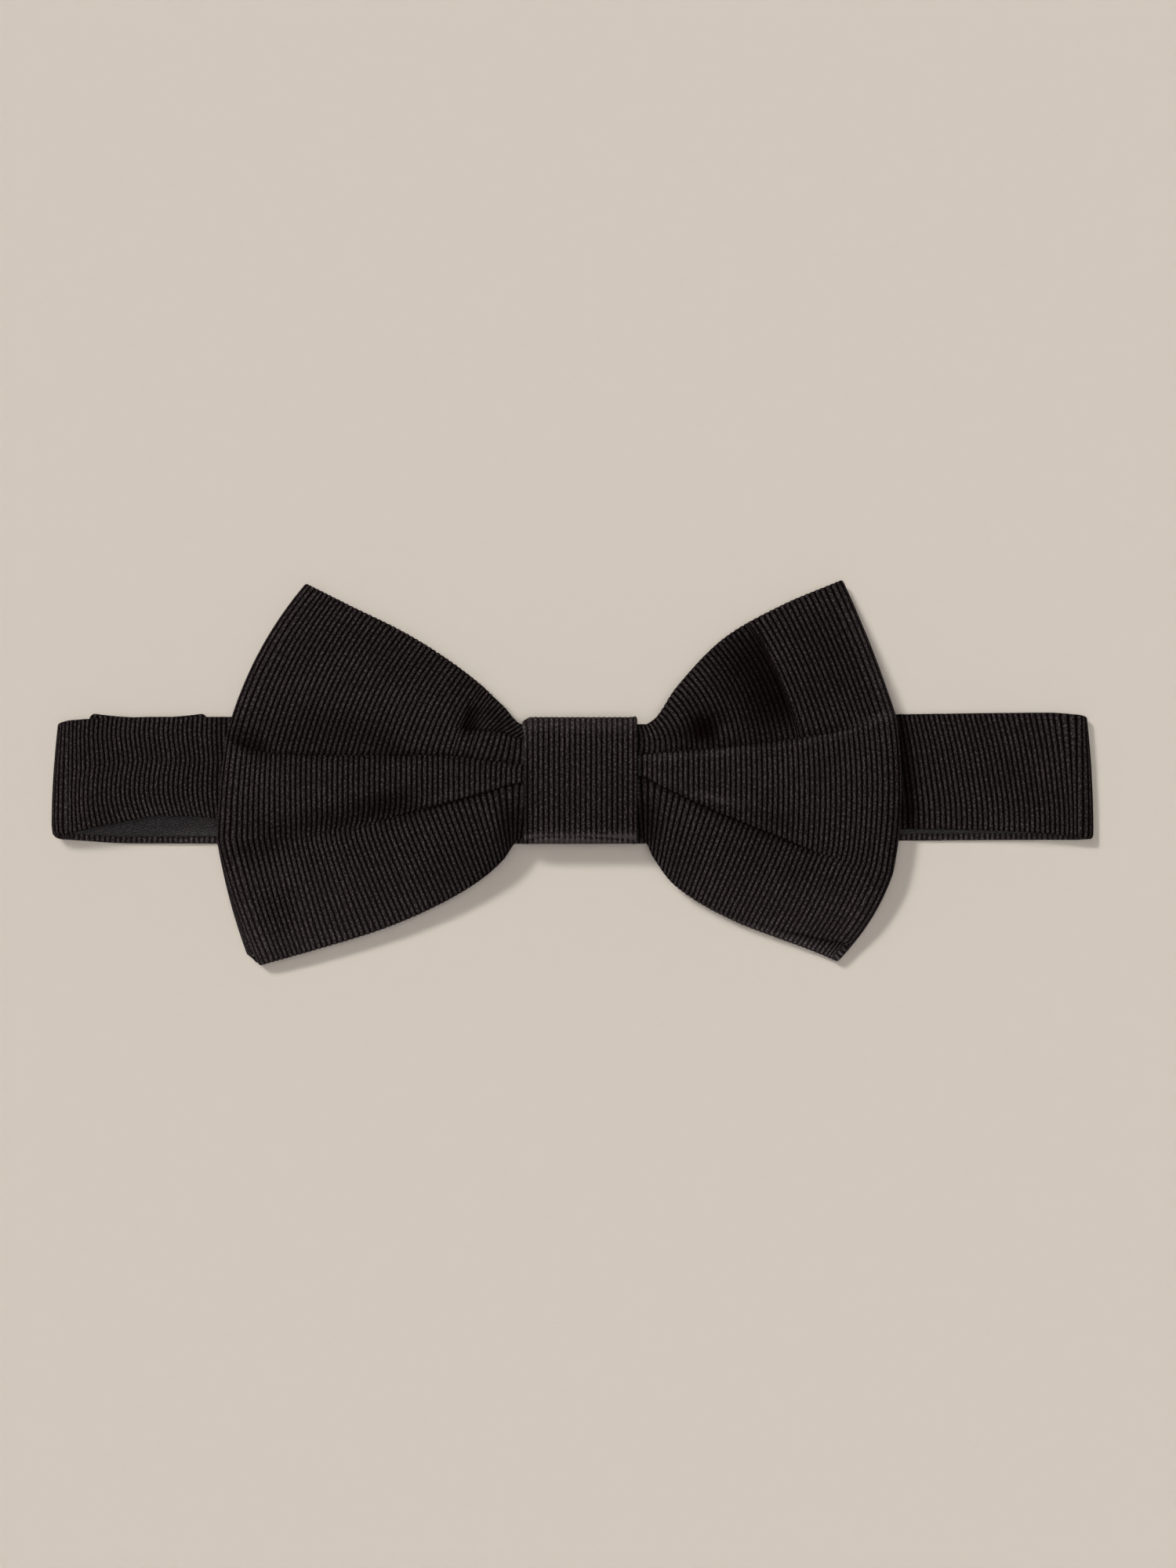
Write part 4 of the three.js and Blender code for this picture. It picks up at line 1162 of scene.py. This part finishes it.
ring = knot_ring()
half = KNOT_WIDTH / 2
across_face = np.arange(0.55, KNOT_WIDTH - 0.5, RIB / 8) / KNOT_WIDTH
knot_shares, knot_drop = rounded_edges(HEM_ROUND, KNOT_WIDTH, across_face)
knot_x = mix(-half, half, knot_shares)
# A turned side is three layers thick, so a low rim runs along each edge.
rim = SIDE_RIM * np.exp(-((half - np.abs(knot_x) - RIM_PLACE) / RIM_WIDTH) ** 2)


def round_the_ring(xs):
    """The middle of the wrap's cloth as a grid of points, round the ring and from left to right."""
    return points(xs[None], ring[:, :1], ring[:, 1:])


knot_mid = round_the_ring(knot_x)
top_share = np.clip((ring[:, 0] - TOP_START) / TOP_REACH, 0, 1)
left_share = np.clip(1 - (knot_x + half) / LEFT_CUT_REACH, 0, 1) ** 2
knot_mid[:, :, 1] -= LEFT_CUT * top_share[:, None] * left_share[None]
knot_lift = KNOT_CLOTH / 2 - knot_drop + rim
# The ribs flatten on the lip along the lower edge.
rib_share = 1 - LIP_FLATTENED * smooth_step((-ring[:, 0] - LIP_START) / LIP_FADE)
knot_ribs = rib_relief(knot_x) * rib_share[:, None]
# The lower edge of the wrap is doubled over, so a crease runs along it and a narrow lip stands out below.
on_face = ring[:, 1] > KNOT_FRONT / 2
lip_line = LIP_LEVEL - LIP_BOW * ((knot_x - LIP_PEAK) / np.where(knot_x < LIP_PEAK, LIP_LEFT, LIP_RIGHT)) ** 2
in_crease = on_face[:, None] * np.exp(-((ring[:, :1] - lip_line[None]) / LIP_CREASE_WIDTH) ** 2)
direction = outward(knot_mid, True)
knot_outer = knot_mid + direction * (knot_lift[None] + knot_ribs - LIP_CREASE * in_crease)[:, :, None]
inner_x = np.array([0.1 - half, 0.6 - half, 0, half - 0.6, half - 0.1])
knot_mid = round_the_ring(inner_x)
knot_inner = knot_mid - outward(knot_mid, True) * KNOT_CLOTH / 2
ring_steps = np.linalg.norm(np.diff(np.concatenate([ring, ring[:1]]), axis=0), axis=1)
ring_lengths = np.concatenate([[0], np.cumsum(ring_steps)])


def ring_weave(xs):
    return points(xs[None] + WEAVE_START * RIB, ring_lengths[:, None])


knot = cloth_piece("knot_cloth", knot_outer, knot_inner, ring_weave(knot_x), ring_weave(inner_x), looped=True)
# Painted light on the wrap's upper and lower edge and high on its left side, painted shade low on it and in the
# crease.
TOP_PAINTED_LIGHT, TOP_PAINTED_LIGHT_START, TOP_PAINTED_LIGHT_REACH = 0.55, 6.8, 3.2
LIP_PAINTED_LIGHTS = [(0.15, 9.0, 1.2), (0.9, 9.9, 0.4)]
LOW_SIDE_PAINTED_SHADE, HIGH_SIDE_PAINTED_LIGHT, SIDE_RISE, SIDE_WIDTH = -0.42, 0.3, 7, 1.3
CREASE_PAINTED_SHADE = 0.7
top_painted_light = TOP_PAINTED_LIGHT * smooth_step((ring[:, 0] - TOP_PAINTED_LIGHT_START) / TOP_PAINTED_LIGHT_REACH)
lip_painted_light = sum(painted_light_shade * smooth_step((-ring[:, 0] - start) / reach) for painted_light_shade, start, reach in LIP_PAINTED_LIGHTS)
side_painted_weight = np.exp(-((knot_x + half) / SIDE_WIDTH) ** 2)
side_share = mix(LOW_SIDE_PAINTED_SHADE, HIGH_SIDE_PAINTED_LIGHT, smooth_step(ring[:, 0] / SIDE_RISE))
knot_painted_light_shade = on_face[:, None] * ((top_painted_light + lip_painted_light)[:, None] + side_share[:, None] * side_painted_weight[None])
knot_painted_light_shade = knot_painted_light_shade - CREASE_PAINTED_SHADE * in_crease
set_painted_light_shade(knot, knot_painted_light_shade, np.zeros((len(ring), len(inner_x))))
knot.data.materials.append(black_rib)
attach(knot, "root")
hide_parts("knot_wrap")


# The surface it lies on, a broad soft light high at the upper left, pale light from all round, and the camera
# straight above.
MM_PER_PIXEL = 0.1384
FRAME_WIDTH, FRAME_HEIGHT = 1500, 2000
MIDDLE_X, MIDDLE_Y = 740.5, 990.0
CAMERA_HEIGHT = 1.2
FOCUS_LEVEL = 8.0
floor_mesh = bpy.data.meshes.new("surface")
floor_mesh.from_pydata([(-3, -3, 0), (3, -3, 0), (3, 3, 0), (-3, 3, 0)], [], [(0, 1, 2, 3)])
floor = bpy.data.objects.new("surface", floor_mesh)
bpy.context.scene.collection.objects.link(floor)
card, tree, shader = plain_material("pale surface", {
    "Base Color": (0.62, 0.554, 0.482, 1), "Roughness": 0.95, "Specular IOR Level": 0.0})
floor_mesh.materials.append(card)


def sun_light(name, energy, spread, height, side):
    """A distant light whose height over the surface and side, counted from +X, are in degrees."""
    light = bpy.data.lights.new(name, "SUN")
    light.energy = energy
    light.angle = math.radians(spread)
    lamp = bpy.data.objects.new(name, light)
    lamp.rotation_euler = (math.radians(90 - height), 0, math.radians(side + 90))
    bpy.context.scene.collection.objects.link(lamp)
    return lamp


def light_only(lamp, name, state):
    """Links a light to the surface alone, or to everything but the surface."""
    group = bpy.data.collections.new(name)
    group.objects.link(floor)
    group.collection_objects[0].light_linking.link_state = state
    lamp.light_linking.receiver_collection = group


window = sun_light("window on the cloth", energy=1.72, spread=16, height=50, side=143)
light_only(window, "all but the surface", "EXCLUDE")
# The shadow on the surface is short and even all round, so a higher light makes it.
high_window = sun_light("window on the surface", energy=1.64, spread=10, height=60, side=135)
light_only(high_window, "the surface", "INCLUDE")
sun_light("ceiling", energy=1.51, spread=20, height=90, side=0)
# Light that the room gives back from the side away from the window.
room_side = sun_light("room side", energy=0.42, spread=50, height=32, side=262)
light_only(room_side, "cloth beside the room", "EXCLUDE")
world = bpy.data.worlds.new("pale room")
world.use_nodes = True
world.node_tree.nodes["Background"].inputs["Color"].default_value = (1, 1, 1, 1)
world.node_tree.nodes["Background"].inputs["Strength"].default_value = 0.1
bpy.context.scene.world = world
bpy.context.scene.view_settings.view_transform = "Standard"

camera_data = bpy.data.cameras.new("camera")
camera = bpy.data.objects.new("camera", camera_data)
bpy.context.scene.collection.objects.link(camera)
camera_data.sensor_fit = "VERTICAL"
camera_data.sensor_height = 36.0
camera_data.sensor_width = 27.0
camera_data.lens = 36.0 * (CAMERA_HEIGHT - FOCUS_LEVEL * MM) / (FRAME_HEIGHT * MM_PER_PIXEL * MM)
camera_data.clip_start, camera_data.clip_end = 0.05, 20
camera.location = ((FRAME_WIDTH / 2 - MIDDLE_X) * MM_PER_PIXEL * MM,
                   (MIDDLE_Y - FRAME_HEIGHT / 2) * MM_PER_PIXEL * MM, CAMERA_HEIGHT)
bpy.context.scene.camera = camera
